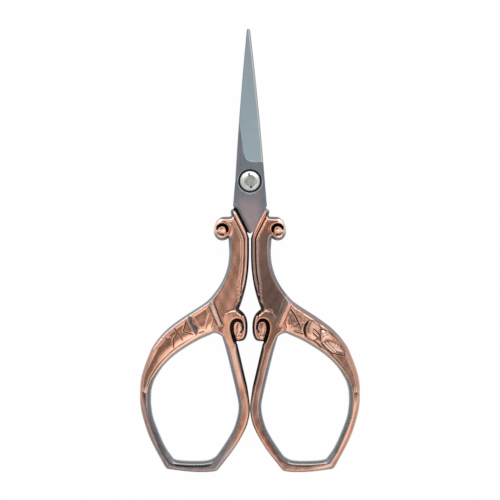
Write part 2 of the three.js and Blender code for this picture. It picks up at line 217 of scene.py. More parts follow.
def fillPlan(loops, groups):  # triangles between closed loops, through the inner points that have room
    cell, sliver, taken = 0.25, 2e-4, {}

    def inMetal(points):
        inside = insideOf(points, loops[0])
        for hole in loops[1:]:
            inside &= ~insideOf(points, hole)
        return inside

    def claim(p, room):
        cx, cy = int(p[0] // cell), int(p[1] // cell)
        for i in (cx - 1, cx, cx + 1):
            for j in (cy - 1, cy, cy + 1):
                for q in taken.get((i, j), ()):
                    if (p[0] - q[0]) ** 2 + (p[1] - q[1]) ** 2 < room * room:
                        return False
        taken.setdefault((cx, cy), []).append((p[0], p[1]))
        return True

    coords, edges = [], []
    for loop in loops:
        first, count = len(coords), len(loop)
        coords += [tuple(p) for p in loop]
        edges += [(first + i, first + (i + 1) % count) for i in range(count)]
        for p in loop:
            claim(p, 0)
    rim = len(coords)
    for points, room in groups:
        points = np.asarray(points, float)
        coords += [tuple(p) for p in points[inMetal(points)] if claim(p, room)]
    verts, _, tris, origin, _, _ = delaunay_2d_cdt([Vector(p) for p in coords], edges, [], 0, 1e-6, True)
    plan = np.array([tuple(v) for v in verts])
    tris = np.array([f for f in tris if len(f) == 3])
    back = {given: i for i, many in enumerate(origin) for given in many}
    corner = plan[tris]
    a, b = corner[:, 1] - corner[:, 0], corner[:, 2] - corner[:, 0]
    onRim = np.isin(tris, [back[i] for i in range(rim)]).all(1)
    flat = onRim & (np.abs(a[:, 0] * b[:, 1] - a[:, 1] * b[:, 0]) < sliver)  # along straight rims
    keep = inMetal(corner.mean(1)) & ~flat
    rims, first = [], 0
    for loop in loops:
        rims.append([back[first + i] for i in range(len(loop))])
        first += len(loop)
    print("  plan of", len(plan), "points,", int(keep.sum()), "triangles,", rim, "on the rim")
    return plan, tris[keep], rims


def faceOutward(mesh, weld=0):
    work = bmesh.new()
    work.from_mesh(mesh)
    if weld:
        bmesh.ops.remove_doubles(work, verts=work.verts, dist=weld)
    bmesh.ops.recalc_face_normals(work, faces=work.faces)
    if work.calc_volume(signed=True) < 0:
        bmesh.ops.reverse_faces(work, faces=work.faces)
    work.to_mesh(mesh)
    work.free()


class Shell:  # collects the points and faces of one closed piece
    def __init__(self):
        self.points, self.faces, self.layers = [], [], {}

    def add(self, points, **layers):
        first = len(self.points)
        self.points += [tuple(p) for p in points]
        for name in {**self.layers, **layers}:
            values = self.layers.setdefault(name, [0.0] * first)
            values += list(np.broadcast_to(layers.get(name, 0.0), len(points)).astype(float))
        return np.arange(first, len(self.points))

    def fill(self, points, tris, **layers):
        here = self.add(points, **layers)
        self.faces += [tuple(here[t]) for t in tris]
        return here

    def strip(self, *rings):  # quads from ring to ring, all of the same count
        for a, b in zip(rings, rings[1:]):
            for i in range(len(a)):
                j = (i + 1) % len(a)
                self.faces.append((a[i], a[j], b[j], b[i]))

    def mesh(self, name, place, material, sharp):
        mesh = bpy.data.meshes.new(name)
        points = [tuple(p) for p in toFrame(place(self.points))]
        mesh.from_pydata(points, [], [tuple(int(i) for i in f) for f in self.faces])
        for layer, values in self.layers.items():
            mesh.attributes.new(layer, "FLOAT", "POINT").data.foreach_set("value", values)
        faceOutward(mesh)
        mesh.polygons.foreach_set("use_smooth", [True] * len(mesh.polygons))
        mesh.set_sharp_from_angle(angle=math.radians(sharp))
        mesh.materials.append(material)
        return mesh


def settle(name, mesh, body, node):  # a finished piece on its body
    piece = bpy.data.objects.new(name, mesh)
    scene.collection.objects.link(piece)
    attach(piece, body)
    if node:
        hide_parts(node)
    print(name, "has", sum(len(p.vertices) - 2 for p in mesh.polygons), "triangles")


# Shader groups that several finishes share

def newGroup(name, inputs, outputs):
    group = bpy.data.node_groups.new(name, "ShaderNodeTree")
    for label, kind, value in inputs:
        made = group.interface.new_socket(name=label, in_out="INPUT", socket_type=kind)
        if value is not None:
            made.default_value = value
    for label, kind in outputs:
        group.interface.new_socket(name=label, in_out="OUTPUT", socket_type=kind)
    return group, group.nodes.new("NodeGroupInput"), group.nodes.new("NodeGroupOutput")


def feed(tree, socket, value):  # links a node's output, or sets a plain value
    if isinstance(value, bpy.types.NodeSocket):
        tree.links.new(value, socket)
    else:
        socket.default_value = value


def place(tree, kind, settings=None, **values):  # a node with its settings, its sockets set or linked
    node = tree.nodes.new(kind)
    for key, value in (settings or {}).items():
        setattr(node, key, value)
    for key, value in values.items():
        found = [s for s in node.inputs if s.name.replace(" ", "") == key and s.enabled]
        feed(tree, found[0] if found else node.inputs[int(key[1:])], value)
    return node


def math2(tree, way, a, b):
    return place(tree, "ShaderNodeMath", {"operation": way}, i0=a, i1=b).outputs[0]


def blendColour(tree, share, a, b, way="MIX"):
    node = tree.nodes.new("ShaderNodeMix")
    node.data_type, node.blend_type = "RGBA", way
    for i, value in ((0, share), (6, a), (7, b)):  # the factor, and the two colours
        feed(tree, node.inputs[i], value)
    return node.outputs[2]


def noiseAt(tree, spot, scale, detail):
    return place(tree, "ShaderNodeTexNoise", Vector=spot, Scale=scale, Detail=detail).outputs["Fac"]


def makeBreakUp():  # frays the edge of a mask with noise
    group, into, out = newGroup("breakUp", [
        ("Mask", "NodeSocketFloat", 0.0), ("Place", "NodeSocketVector", None),
        ("Scale", "NodeSocketFloat", 900.0), ("Amount", "NodeSocketFloat", 0.4),
    ], [("Mask", "NodeSocketFloat")])
    noise = noiseAt(group, into.outputs["Place"], into.outputs["Scale"], 4.0)
    swing = math2(group, "MULTIPLY", math2(group, "SUBTRACT", noise, 0.5), into.outputs["Amount"])
    total = place(group, "ShaderNodeMath", {"operation": "ADD", "use_clamp": True},
                  i0=into.outputs["Mask"], i1=swing)
    group.links.new(total.outputs[0], out.inputs[0])
    return group


def makeBrushLines():  # fine lines that run along one axis of the place given
    group, into, out = newGroup("brushLines", [
        ("Place", "NodeSocketVector", None), ("Across", "NodeSocketVector", (9000.0, 260.0, 9000.0)),
        ("Detail", "NodeSocketFloat", 3.0),
    ], [("Lines", "NodeSocketFloat")])
    stretched = place(group, "ShaderNodeVectorMath", {"operation": "MULTIPLY"},
                      i0=into.outputs["Place"], i1=into.outputs["Across"])
    group.links.new(noiseAt(group, stretched.outputs[0], 1.0, into.outputs["Detail"]), out.inputs[0])
    return group


breakUp, brushLines = makeBreakUp(), makeBrushLines()


# Finishes

def newFinish(name, metallic):
    material = bpy.data.materials.new(name)
    material.use_nodes = True
    tree = material.node_tree
    shader = tree.nodes["Principled BSDF"]
    shader.inputs["Metallic"].default_value = metallic
    return material, tree, shader, place(tree, "ShaderNodeTexCoord").outputs["Object"]


def useGroup(tree, group, **values):
    node = tree.nodes.new("ShaderNodeGroup")
    node.node_tree = group
    for key, value in values.items():
        feed(tree, node.inputs[key], value)
    return node.outputs[0]


def layer(tree, name):
    return place(tree, "ShaderNodeAttribute", {"attribute_name": name}).outputs["Fac"]


def frayed(tree, name, spot, scale, amount):  # one of the piece's own masks with a broken edge
    return useGroup(tree, breakUp, Mask=layer(tree, name), Place=spot, Scale=scale, Amount=amount)


def setRough(tree, shader, value, f):
    rough = place(tree, "ShaderNodeMapRange", Value=value, ToMin=f["roughLow"], ToMax=f["roughHigh"])
    tree.links.new(rough.outputs["Result"], shader.inputs["Roughness"])


def setBump(tree, shader, height, f):
    bump = place(tree, "ShaderNodeBump", Strength=f["bump"], Distance=f["bumpHeight"], Height=height)
    tree.links.new(bump.outputs["Normal"], shader.inputs["Normal"])


copperFinish = {
    "bright": (0.82, 0.4, 0.262, 1), "brown": (0.6, 0.296, 0.206, 1), "worn": (0.95, 0.69, 0.57, 1),
    "oxide": (0.285, 0.323, 0.35, 1), "soot": (0.012, 0.012, 0.014, 1),
    "toneScale": 210.0, "toneLow": 0.22, "toneHigh": 0.76, "grainScale": 5200.0,
    "oxideFray": (1500.0, 0.42), "sootFray": (1050.0, 0.25), "wearFray": (750.0, 0.3),  # scale and amount
    "oxideRough": 0.6, "grainRough": 0.4, "roughLow": 0.2, "roughHigh": 0.36,
    "bump": 0.06, "bumpHeight": 0.00004,
}


def makeAntiqueCopper(f):
    material, tree, shader, spot = newFinish("antiqueCopper", 1.0)
    tone = place(tree, "ShaderNodeMapRange", Value=noiseAt(tree, spot, f["toneScale"], 5.0),
                 FromMin=f["toneLow"], FromMax=f["toneHigh"])
    oxide, soot, wear = (frayed(tree, name, spot, *f[name + "Fray"]) for name in ("oxide", "soot", "wear"))
    colour = blendColour(tree, tone.outputs["Result"], f["brown"], f["bright"])
    # the light copper mask holds rubbed wear and painted highlights; the black mask holds black patina in the
    # cuts and painted shade in gaps, along edges and on the darker face
    for mask, name in ((wear, "worn"), (oxide, "oxide"), (soot, "soot")):
        colour = blendColour(tree, mask, colour, f[name])
    tree.links.new(colour, shader.inputs["Base Color"])
    grain = noiseAt(tree, spot, f["grainScale"], 3.0)
    oxideShare = math2(tree, "MULTIPLY", oxide, f["oxideRough"])
    grainShare = math2(tree, "MULTIPLY", grain, f["grainRough"])
    setRough(tree, shader, math2(tree, "ADD", oxideShare, grainShare), f)
    setBump(tree, shader, grain, f)
    return material


steelFinish = {
    "ground": (0.42, 0.525, 0.57, 1), "dark": (0.32, 0.395, 0.425, 1),
    "ricasso": (0.44, 0.48, 0.54, 1), "streak": (0.235, 0.258, 0.3, 1),
    "warm": (0.72, 0.54, 0.54, 1), "black": (0.01, 0.01, 0.01, 1), "paintedGlint": (0.93, 0.96, 0.98, 1),
    "warmFray": (420.0, 0.5), "across": (700.0, 16000.0, 700.0), "lengthwise": (6200.0, 160.0, 6200.0),
    "roughLow": 0.24, "roughHigh": 0.42, "bump": 0.07, "bumpHeight": 0.00003,
}


def makeBladeSteel(f):
    material, tree, shader, spot = newFinish("bladeSteel", 1.0)
    lines = useGroup(tree, brushLines, Place=spot, Across=f["across"], Detail=3.0)
    streaks = useGroup(tree, brushLines, Place=spot, Across=f["lengthwise"], Detail=2.0)
    colour = blendColour(tree, lines, f["dark"], f["ground"])
    ricasso = blendColour(tree, streaks, f["streak"], f["ricasso"])
    colour = blendColour(tree, layer(tree, "unground"), colour, ricasso)
    # a painted reflection of the copper handles, pink on the lower ricasso
    colour = blendColour(tree, frayed(tree, "warm", spot, *f["warmFray"]), colour, f["warm"])
    # black paints shade on the blade (under the handles, on the vee bevel, in the counterbore) and darkens the
    # tip; the glint colour is a painted highlight
    for name in ("black", "paintedGlint"):
        colour = blendColour(tree, layer(tree, name), colour, f[name])
    tree.links.new(colour, shader.inputs["Base Color"])
    setRough(tree, shader, lines, f)
    setBump(tree, shader, lines, f)
    return material


screwFinish = {
    "bright": (0.78, 0.8, 0.76, 1), "dull": (0.65, 0.675, 0.63, 1), "dirt": (0.035, 0.033, 0.03, 1),
    "across": (1500.0, 5000.0, 1500.0), "dirtFray": (2600.0, 0.35), "roughLow": 0.32, "roughHigh": 0.48,
}


def makeScrewSteel(f):
    material, tree, shader, spot = newFinish("screwSteel", 1.0)
    lines = useGroup(tree, brushLines, Place=spot, Across=f["across"], Detail=4.0)
    colour = blendColour(tree, lines, f["dull"], f["bright"])
    colour = blendColour(tree, frayed(tree, "dirt", spot, *f["dirtFray"]), colour, f["dirt"])
    tree.links.new(colour, shader.inputs["Base Color"])
    setRough(tree, shader, lines, f)
    return material


blackFinish = {
    "black": (0.012, 0.013, 0.014, 1), "rubbed": (0.08, 0.083, 0.085, 1),
    "rubScale": 1800.0, "rubLow": 0.55, "rubHigh": 0.8, "roughLow": 0.4, "roughHigh": 0.65,
}


def makeBlackSteel(f):
    material, tree, shader, spot = newFinish("blackSteel", 0.6)
    tone = noiseAt(tree, spot, f["rubScale"], 3.0)
    rubbed = place(tree, "ShaderNodeMapRange", Value=tone, FromMin=f["rubLow"], FromMax=f["rubHigh"])
    colour = blendColour(tree, rubbed.outputs["Result"], f["black"], f["rubbed"])
    tree.links.new(colour, shader.inputs["Base Color"])
    setRough(tree, shader, tone, f)
    return material


antiqueCopper = makeAntiqueCopper(copperFinish)
bladeSteel = makeBladeSteel(steelFinish)
screwSteel = makeScrewSteel(screwFinish)
blackSteel = makeBlackSteel(blackFinish)
print("finishes made")

# Blades

blade = {
    "reach": 39.5, "half": 3.85, "tipHalf": 0.4, "bow": 0.2, "edgeInset": 0.25, "inner": 0.05, "front": 1.55,
    "heelRadius": 7.85, "heelDrop": 6.5, "heelTurn": 0.16, "root": 13.7, "rootClearance": 0.75,
    "castGap": 0.15, "tangX": 2.82, "tangHalf": 1.1, "tangReach": 24.0,
    "tangTop": (-14.2, -13.2), "tangNeck": (4.3, -9.2),
    "bore": 1.56, "sink": 3.07, "sinkDepth": 0.7, "sinkChamfer": 0.24, "sinkShift": 0.12,
    "facetLine": ((-1.5, 6.2), (-2.62, 15.6)), "facetFoot": 4.95, "plunge": 0.38,
    "edgeLow": 0.57, "edgeTip": 0.22, "spineTip": 0.4, "veeBevel": 0.7, "veeSlope": 0.3,
    "spineBevel": 0.16, "microBevel": 0.25, "microDrop": 0.1,
    "tongueClearance": 0.5, "step": 0.3, "lean": 0.0105, "grid": 0.45, "backGrid": 1.2,
}

heelAngle = -math.asin(blade["heelDrop"] / blade["heelRadius"])
heelCorner = polar(blade["heelRadius"], heelAngle)
rootTop = polar(blade["heelRadius"], heelAngle - blade["heelTurn"])
rootPoint = np.array((0.0, -blade["root"]))
slantFoot = rootPoint + (blade["rootClearance"], blade["rootClearance"] / 2)
slantWay = (rootTop - rootPoint) / np.hypot(*(rootTop - rootPoint))
tongueRadius = blade["heelRadius"] + blade["tongueClearance"]
slantDown = slantFoot @ slantWay
slantReach = math.sqrt(slantDown ** 2 + tongueRadius ** 2 - slantFoot @ slantFoot)
slantTop = slantFoot + slantWay * (-slantDown - slantReach)
tongueFill = polar(tongueRadius + 0.5, math.atan2(slantTop[1], slantTop[0]) + 0.05)


def bladeSide(half, tipHalf, side):  # from the tip down to the pivot
    b = blade
    top, foot = np.array((side * tipHalf, b["reach"])), np.array((side * half, 0.0))
    swell = np.array(((top[0] + foot[0]) / 2 + side * 2 * b["bow"], b["reach"] / 2))
    t = np.linspace(0, 1, 60)[:, None]
    return (1 - t) ** 2 * top + 2 * t * (1 - t) * swell + t ** 2 * foot


def bladeSides():  # spine and cutting edge
    b, inset = blade, blade["edgeInset"]
    return bladeSide(b["half"], b["tipHalf"], -1), bladeSide(b["half"] - inset, b["tipHalf"] - inset, 1)


def bladeOutline():
    b = blade
    spine, edge = bladeSides()
    tip = np.array([
        edge[0] + (-0.02, -0.3), edge[0] + (-0.12, -0.06), spine[0] + (0.18, 0), spine[0] + (0.0, -0.3),
    ])
    turns = math.pi - heelAngle + np.linspace(0, 1, 5) * b["heelTurn"]
    heel = np.array([polar(b["heelRadius"], turn) for turn in turns])
    left, right, low = b["tangX"] - b["tangHalf"], b["tangX"] + b["tangHalf"], -b["tangReach"]
    tang = np.array([
        slantFoot - (b["castGap"], 0), (left, b["tangTop"][0]), (left, low), (right, low),
        (right, b["tangTop"][1]), b["tangNeck"], tongueFill, heelCorner - (b["edgeInset"], 0),
    ])
    loop = np.vstack([
        spine[spine[:, 1] < tip[3, 1]], heel, rootPoint[None], tang, edge[edge[:, 1] < tip[0, 1]][::-1], tip,
    ])
    return np.vstack([evenLine(loop[[i, (i + 1) % len(loop)]], b["step"])[:-1] for i in range(len(loop))])


def facetFootAt(x):  # where the grinding stops above the screw
    return blade["facetFoot"] + overZero(-0.1 - x, 0.3) ** 1.7


def bladeFace(plan):  # height of the front face, and its unground places, painted copper reflection, black (painted shade on the vee bevel, and the darkened tip) and painted glints
    b = blade
    x, y = plan.T
    spine, edge = (line[::-1] for line in bladeSides())
    spineX, edgeX = (np.interp(y, line[:, 1], line[:, 0]) for line in (spine, edge))
    (x0, y0), (x1, y1) = b["facetLine"]
    lineX, foot = np.maximum(x0 + (x1 - x0) * (y - y0) / (y1 - y0), spineX), facetFootAt(x)
    upSpine, upEdge = (np.clip((y - start) / (b["reach"] - start), 0, 1) for start in (y1, b["facetFoot"]))
    top = b["front"] - (b["front"] - b["inner"] - b["spineTip"]) * upSpine
    low = b["inner"] + b["edgeLow"] + (b["edgeTip"] - b["edgeLow"]) * upEdge
    ground = top - (top - low) * np.clip((x - lineX) / np.maximum(edgeX - lineX, 0.05), 0, 1)
    cut = past(y, foot, b["plunge"])
    z = b["front"] + (ground - b["front"]) * cut
    root = [heelCorner * (-1, 1), polar(b["heelRadius"], math.pi - heelAngle + b["heelTurn"]), rootPoint]
    vee = lineGap(plan, root)[0]
    z -= b["veeSlope"] * overZero(b["veeBevel"] - vee, 0.06)
    z -= 0.7 * overZero(b["spineBevel"] - lineGap(plan, spine)[0], 0.03)
    micro = lineGap(plan, edge[edge[:, 1] > b["facetFoot"]])[0] / b["microBevel"]
    z -= b["microDrop"] * np.clip(1 - micro, 0, 1)
    # the vee bevel beside the handle is painted black as painted shade; the cutting edge and the plunge's foot
    # carry painted glints
    onVee = before(vee, b["veeBevel"], 0.15)
    paintedFootGlint = near(y - foot, 0.12, 0.1) * past(x, 0.2, 0.8)
    return np.maximum(z, b["inner"] + 0.06), {
        "unground": (1 - cut * past(x - lineX, -0.06, 0.12)) * (1 - 0.12 * onVee),
        "warm": 0.72 * before(y, -1.4, 6) * before(np.abs(x + 0.2), 4.2, 2.6) * (1 - onVee),
        "black": 0.5 * np.maximum(onVee, past(y, b["reach"] - 0.5, 0.4)),
        "paintedGlint": np.maximum(0.6 * before(micro, 1.1, 0.3), 0.4 * paintedFootGlint),
    }


def makeBlade(name, isFront, where, body, node):
    b = blade
    loop = windLoop(bladeOutline())
    low, high = loop.min(0), loop.max(0)
    mouth = ringOf(b["sink"] + b["sinkChamfer"]) - (0, b["sinkShift"]) if isFront else ringOf(b["bore"])
    (x0, y0), (x1, y1) = b["facetLine"]
    footX = np.linspace(-2.6, 3.8, 60)
    footLine = np.column_stack([footX, facetFootAt(footX)])
    creases = [footLine + (0, lift * b["plunge"]) for lift in (0, 0.15, 0.3, 0.5, 0.7, 0.85, 1)]
    creases += [evenLine([(x0 + side, y0 - 0.4), (x1 + side, y1)], 0.15) for side in (-0.08, 0, 0.08)]
    groups = [(line, 0.04) for line in creases]
    groups += [(besideLoop(loop, reach), 0.06) for reach in (0.06, 0.13, 0.2, 0.28, 0.42, 0.55, 0.68)]
    groups.append((hexGrid(low, high, b["grid"]), 0.2))
    plan, tris, rims = fillPlan([loop, mouth[::-1]], groups)
    lean = b["lean"] if isFront else -b["lean"]

    def leant(points):  # the blade leans a little from the pivot up
        return points - np.column_stack([lean * np.maximum(points[:, 1], 0), np.zeros(len(points))])

    shell = Shell()
    z, layers = bladeFace(plan)
    front = shell.fill(atHeight(leant(plan), z), tris, **layers)
    slant = evenLine([slantFoot, slantTop], 0.4)
    groups = aside(slant, 0.2, -1.6, -1.2, -0.8, -0.4, 0.4, 0.8, 1.2, 1.6)
    groups.append((hexGrid(low, high, b["backGrid"]), 0.5))
    backPlan, backTris, backRims = fillPlan([loop, ringOf(b["bore"])[::-1]], groups)
    # painted shade on the tang's inner face, where it lies under the handle, darkest beside the slant
    root = past(np.hypot(*backPlan.T), b["heelRadius"] - 0.4, 0.3) * (backPlan[:, 1] < 0)
    paintedRootShade = root * (0.3 + 0.65 * before(lineGap(backPlan, slant)[0], 1.5, 0.5))
    # the inner face above the facet's foot is lightened with the glint colour
    paintedGlint = 0.45 * (backPlan[:, 1] > b["facetFoot"])
    layers = {"unground": np.maximum(0.3, root), "black": paintedRootShade, "paintedGlint": paintedGlint}
    back = shell.fill(atHeight(leant(backPlan), b["inner"]), backTris[:, ::-1], **layers)
    shell.strip(front[rims[0]], back[backRims[0]])
    bore = []
    if isFront:  # counterbore of the screw's head, painted in shade: darker down its wall and black on its floor
        edge, floor = b["front"] - 0.42 * b["sinkChamfer"], b["front"] - b["sinkDepth"]
        for radius, height, black in ((b["sink"], edge, 0), (b["sink"], floor, 1), (b["bore"], floor, 1)):
            bore.append(shell.add(atHeight(ringOf(radius)[::-1], height), unground=1.0, black=black))
    shell.strip(front[rims[1]], *bore, back[backRims[1]])
    settle(name, shell.mesh(name, where, bladeSteel, 14), body, node)


makeBlade("frontBlade", True, np.asarray, "front_lever", "front_blade")
makeBlade("rearBlade", False, turnedOver, "rear_lever", "rear_blade")

# Handles

handle = {
    "face": 2.4, "step": 0.2, "grid": 0.22, "draft": 0.06, "parting": 0.25,
    "dressSpread": 6, "wallSpread": 54,
    "bowInner": 0.15, "bowTop": 32.5, "bowLength": 43.0, "bowWidth": 28.39, "band": 2.85, "crown": 7.0,
    "shankInner": 0.22, "waist": 18.0, "shankWidth": 5.2, "tongueWidth": 0.75, "notchTop": -27.5,
    "neck": (
        (4.85, -7.5), (5.05, -7.95), (4.98, -8.5), (4.88, -8.92), (5.06, -9.16), (5.5, -9.25), (6.4, -9.28),
    ),
    "upperScroll": (7.05, -12.85), "upperRadius": 2.35, "upperOpening": 0.74, "upperSag": 0.13,
    "lowerScroll": (2.75, -38.15), "lowerHalf": (2.15, 3.45), "slit": ((3.5, -41.9), (3.5, -41.65)),
    # place, width and height of each rib
    "ridge": (0.76, 0.24, 0.1), "groove": (1.2, 0.12, 0.3), "secondRidge": (1.54, 0.2, 0.14),
    "ringDrop": 0.14, "tipY": -55.0, "panelTilt": 0.055, "inwardTilt": 0.12, "unevenness": 0.008,
    "wellMiddle": (7.2, -12.8), "wellRadius": 1.38, "wellHalf": 0.31, "wellDepth": 1.1, "eyeRadius": 1.1,
    "spiralHalf": 0.35, "spiralDepth": 1.15, "lowerEye": (3.05, -38.6), "lowerEyeHalf": (0.75, 1.6),
    "knob": (27.35, -54.1), "knobHalf": (0.55, 0.9), "knobRise": 0.1,
    "rimLineDepth": 0.08, "tipNotchDepth": 0.12,
}

# where something on the faces begins or ends: heights from the pivot, and distances from the centre line
zone = {
    "ribTop": -6.6, "ribFoot": -33.2, "panelTop": -11.5, "crownLeft": 8, "ornamentLeft": 14, "taperTop": -43,
    "strutTop": -40, "strutFoot": -68, "strutRight": 13, "meeting": -58.7,
    "footTop": -71.4, "footLeft": 9.4, "footRight": 20.4, "soleTop": -71.6, "footStep": (0.62, 1.08),
}

# how each stretch of edge is dressed: bevel width and slope, rounding, grey oxide, painted shade, wear and
# painted highlight on the ridge, share of the bevel that is grey
edgeDress = {
    "slant": (0.3, 1.5, 0.2, 0.2, 0.9, 0.5, 1), "shoulder": (0.85, 0.95, 0.3, 0.95, 0.35, 0.9, 0.9),
    "scroll": (0.45, 0.7, 0.3, 0.3, 0, 0.9, 0.5), "underScroll": (0.85, 0.85, 0.3, 0.85, 0.3, 0.2, 1),
    "shank": (0.85, 0.95, 0.35, 0.95, 0, 0.05, 1), "crescent": (0.8, 0.9, 0.3, 1, 0, 0.95, 1),
    "ring": (1.05, 0.42, 0.35, 0.12, 0, 0, 1), "foot": (0.25, 1.0, 0.2, 0.5, 0.5, 0, 1),
    "strut": (0.85, 0.9, 0.25, 0.5, 0.92, 0.1, 1), "slit": (0.25, 1.3, 0.15, 0.5, 1, 0, 1),
    "lowerScroll": (0.7, 1.1, 0.3, 0.4, 0.85, 0.9, 1), "notch": (0.72, 1.0, 0.3, 0.6, 0.85, 0.9, 1),
    "mating": (0.48, 1.3, 0.25, 0.4, 0.95, 0.5, 1),
}
dressNames = ("bevel", "slope", "round", "edgeOxide", "edgeSoot", "edgeWear", "greyShare")

# lines of the outline, as shares of the bow, of the finger hole and of the lower scroll
outlineShares = {
    "outer": (
        (0.384, -0.0326), (0.4525, 0), (0.612, 0.068), (0.755, 0.14), (0.856, 0.216), (0.912, 0.283),
        (0.985, 0.42), (1, 0.54), (0.983, 0.645), (0.913, 0.79), (0.799, 0.935), (0.762, 0.975),
        (0.74, 0.982),
    ),
    "foot": ((0.74, 0.982), (0.55, 0.997), (0.4, 1), (0.31, 0.994), (0.285, 0.985)),
    "inner": (
        (0.285, 0.985), (0.224, 0.935), (0.144, 0.866), (0.073, 0.79), (0.018, 0.71), (-0.0044, 0.619),
        (0.0155, 0.5), (0.039, 0.427), (0.107, 0.234),
    ),
    "lower": (
        (0.24, -1.0), (-0.12, -1.0), (-0.6, -0.9), (-0.9, -0.55), (-1, -0.05), (-0.97, 0.42), (-0.82, 0.83),
        (-0.5, 1.15), (0.03, 1.43),
    ),
    "hole": (
        (0.2, 0.02), (0.27, 0), (0.338, 0.018), (0.487, 0.065), (0.703, 0.158), (0.852, 0.252),
        (0.946, 0.348), (0.977, 0.398), (0.995, 0.45), (1, 0.51), (0.996, 0.57), (0.966, 0.677),
        (0.854, 0.865), (0.767, 0.959), (0.712, 0.99), (0.556, 1), (0.37, 0.997), (0.283, 0.975),
        (0.23, 0.94), (0.112, 0.819), (0.04, 0.72), (0, 0.595), (0.018, 0.487), (0.116, 0.203), (0.175, 0.055),
    ),
}


def bowAt(u, v):
    h = handle
    return (h["bowInner"] + u * h["bowWidth"], -h["bowTop"] - v * h["bowLength"])


def holeAt(u, v):
    h = handle
    wide, tall = h["bowWidth"] - 2 * h["band"], h["bowLength"] - h["crown"] - h["band"]
    return (h["bowInner"] + h["band"] + u * wide, -h["bowTop"] - h["crown"] - v * tall)


def lowerAt(u, v):
    h = handle
    return (h["lowerScroll"][0] + u * h["lowerHalf"][0], h["lowerScroll"][1] + v * h["lowerHalf"][1])


def through(where, name):
    return smoothLine([where(u, v) for u, v in outlineShares[name]])


def upperScrollLine():
    h = handle
    line = []
    for angle in np.linspace(1.5, -2.2, 55):
        opened = max(0.0, (angle - 0.17) / (1.86 - 0.17)) ** 1.6
        sag = h["upperSag"] * near(angle, -1.3, 0.8)
        line.append(polar(h["upperRadius"] * (1 + h["upperOpening"] * opened + sag), angle, h["upperScroll"]))
    return np.array(line)


def handleEdges():  # the outline as stretches, each with its dress
    h = handle
    start, turn = math.atan2(slantTop[1], slantTop[0]), h["tongueWidth"] / tongueRadius
    tongue = [polar(tongueRadius, start + t * turn) for t in (0, 0.35, 0.7, 1)]
    scroll = upperScrollLine()
    neck = smoothLine([tongue[-1], *h["neck"], scroll[0]], 5)
    outer, foot, inner = (through(bowAt, name) for name in ("outer", "foot", "inner"))
    lower = through(lowerAt, "lower")
    shankIn = flare((h["shankInner"], -h["waist"]), lower[-1], 2.35)[::-1]
    shankOut = flare((h["shankInner"] + h["shankWidth"], -h["waist"]), outer[0], 2.3)
    matingEnd = (h["shankInner"], slantFoot[1] - 2 * blade["rootClearance"])
    isNotch, isRing = shankIn[:, 1] < h["notchTop"], outer[:, 1] < h["tipY"]
    return [
        ("slant", np.vstack([slantFoot, slantTop, *tongue[1:]])),
        ("shoulder", np.vstack([neck[:-1], scroll[:5]])),
        ("scroll", scroll[4:43]),
        ("underScroll", np.vstack([scroll[42:], shankOut[:1]])),
        ("shank", shankOut),
        ("crescent", outer[~isRing]),
        ("ring", np.vstack([outer[~isRing][-1:], outer[isRing]])),
        ("foot", foot),
        ("strut", inner),
        ("slit", np.array([inner[-1], *h["slit"], lower[0]])),
        ("lowerScroll", lower),
        ("notch", shankIn[isNotch]),
        ("mating", np.vstack([shankIn[isNotch][-1:], shankIn[~isNotch], matingEnd, slantFoot])),
    ]


def fingerHole():
    return smoothLoop([holeAt(u, v) for u, v in outlineShares["hole"]])


# the slanting band between shank and ornament: its edges, from the outer side down to the finger hole
band = {
    "ornamentSide": ((10.7, -32.1), (8.05, -38.1)), "leafShankSide": ((9.05, -30.9), (7.15, -35.9)),
    "cutShankSide": ((9.6, -31.3), (7.5, -36.8)), "rise": 0.02, "fall": 0.2, "ridge": 0.45,
    "ornamentMark": (0.13, 0.24, 0.7),  # width, depth and blackness of the line cut along it
}

# what differs between the face with the leaf and the one with cut lines only
# the highlight entries are painted highlights and the foot's shade entry is painted shade
leafDress = {
    "shankSide": "leafShankSide", "shankMark": (0.13, 0.03, 0.1),
    "bandWear": 0.05, "bandTopWear": 0.5, "bandBlend": 0.35,
    "rim": 1.3, "sink": 0.42, "groundBow": 0.01, "groundGrey": 0.2, "panelDrop": 0.14, "shoulderEnd": 5.2,
    "footLine": 0.13, "footBlack": 0.05, "footGrey": 0.86, "holeWear": 0.08,
    "ribFall": 0.08, "grooveBlack": 0.9, "ridgeWear": 0.05, "secondWear": 0.3,
}
cutDress = {
    "shankSide": "cutShankSide", "shankMark": (0.2, 0.28, 1.0),
    "bandWear": 0.75, "bandTopWear": 1.0, "bandBlend": 1.0,
    "rim": 1.0, "sink": 0.26, "groundBow": 0.015, "groundGrey": 0.06, "panelDrop": 0.26, "shoulderEnd": 6.0,
    "footLine": 0.3, "footBlack": 0.17, "footGrey": 1.0, "holeWear": 0.5,
    "ribFall": 0.3, "grooveBlack": 0.6, "ridgeWear": 0.95, "secondWear": 1.0,
}

# cut lines of the plain face: points, width, depth
cutFace = {
    "chevron": ([(16.48, -36.27), (17.29, -39.02), (14.82, -39.82)], 0.36, 0.2),
    "crossDown": ([(19.52, -38.27), (18.8, -39.38), (17.52, -41.17)], 0.34, 0.2),
    "crossUp": ([(18.8, -39.46), (19.91, -41.17), (19.83, -43.2)], 0.34, 0.2),
    "dash": ([(13.27, -39.46), (11.94, -39.02)], 0.3, 0.16),
    "farDash": ([(22.84, -40.89), (20.51, -40.63)], 0.3, 0.08),
    "bladeOne": ([(11.42, -38.42), (10.9, -36.34), (10.38, -34.53)], 0.32, 0.1),
    "bladeTwo": ([(9.99, -37.9), (9.35, -35.57)], 0.3, 0.1),
}
cutShapes = {
    "wedge": [
        (15.97, -35.2), (15.1, -35.4), (14.95, -36.9), (13.6, -37.85), (13.65, -39.4), (14.05, -39.9),
        (14.75, -38.65), (15.9, -36.55),
    ],
    "pad": [(14.93, -35.05), (11.3, -32.9), (10.6, -34.53), (11.68, -38.42), (13.24, -37.9)],
}

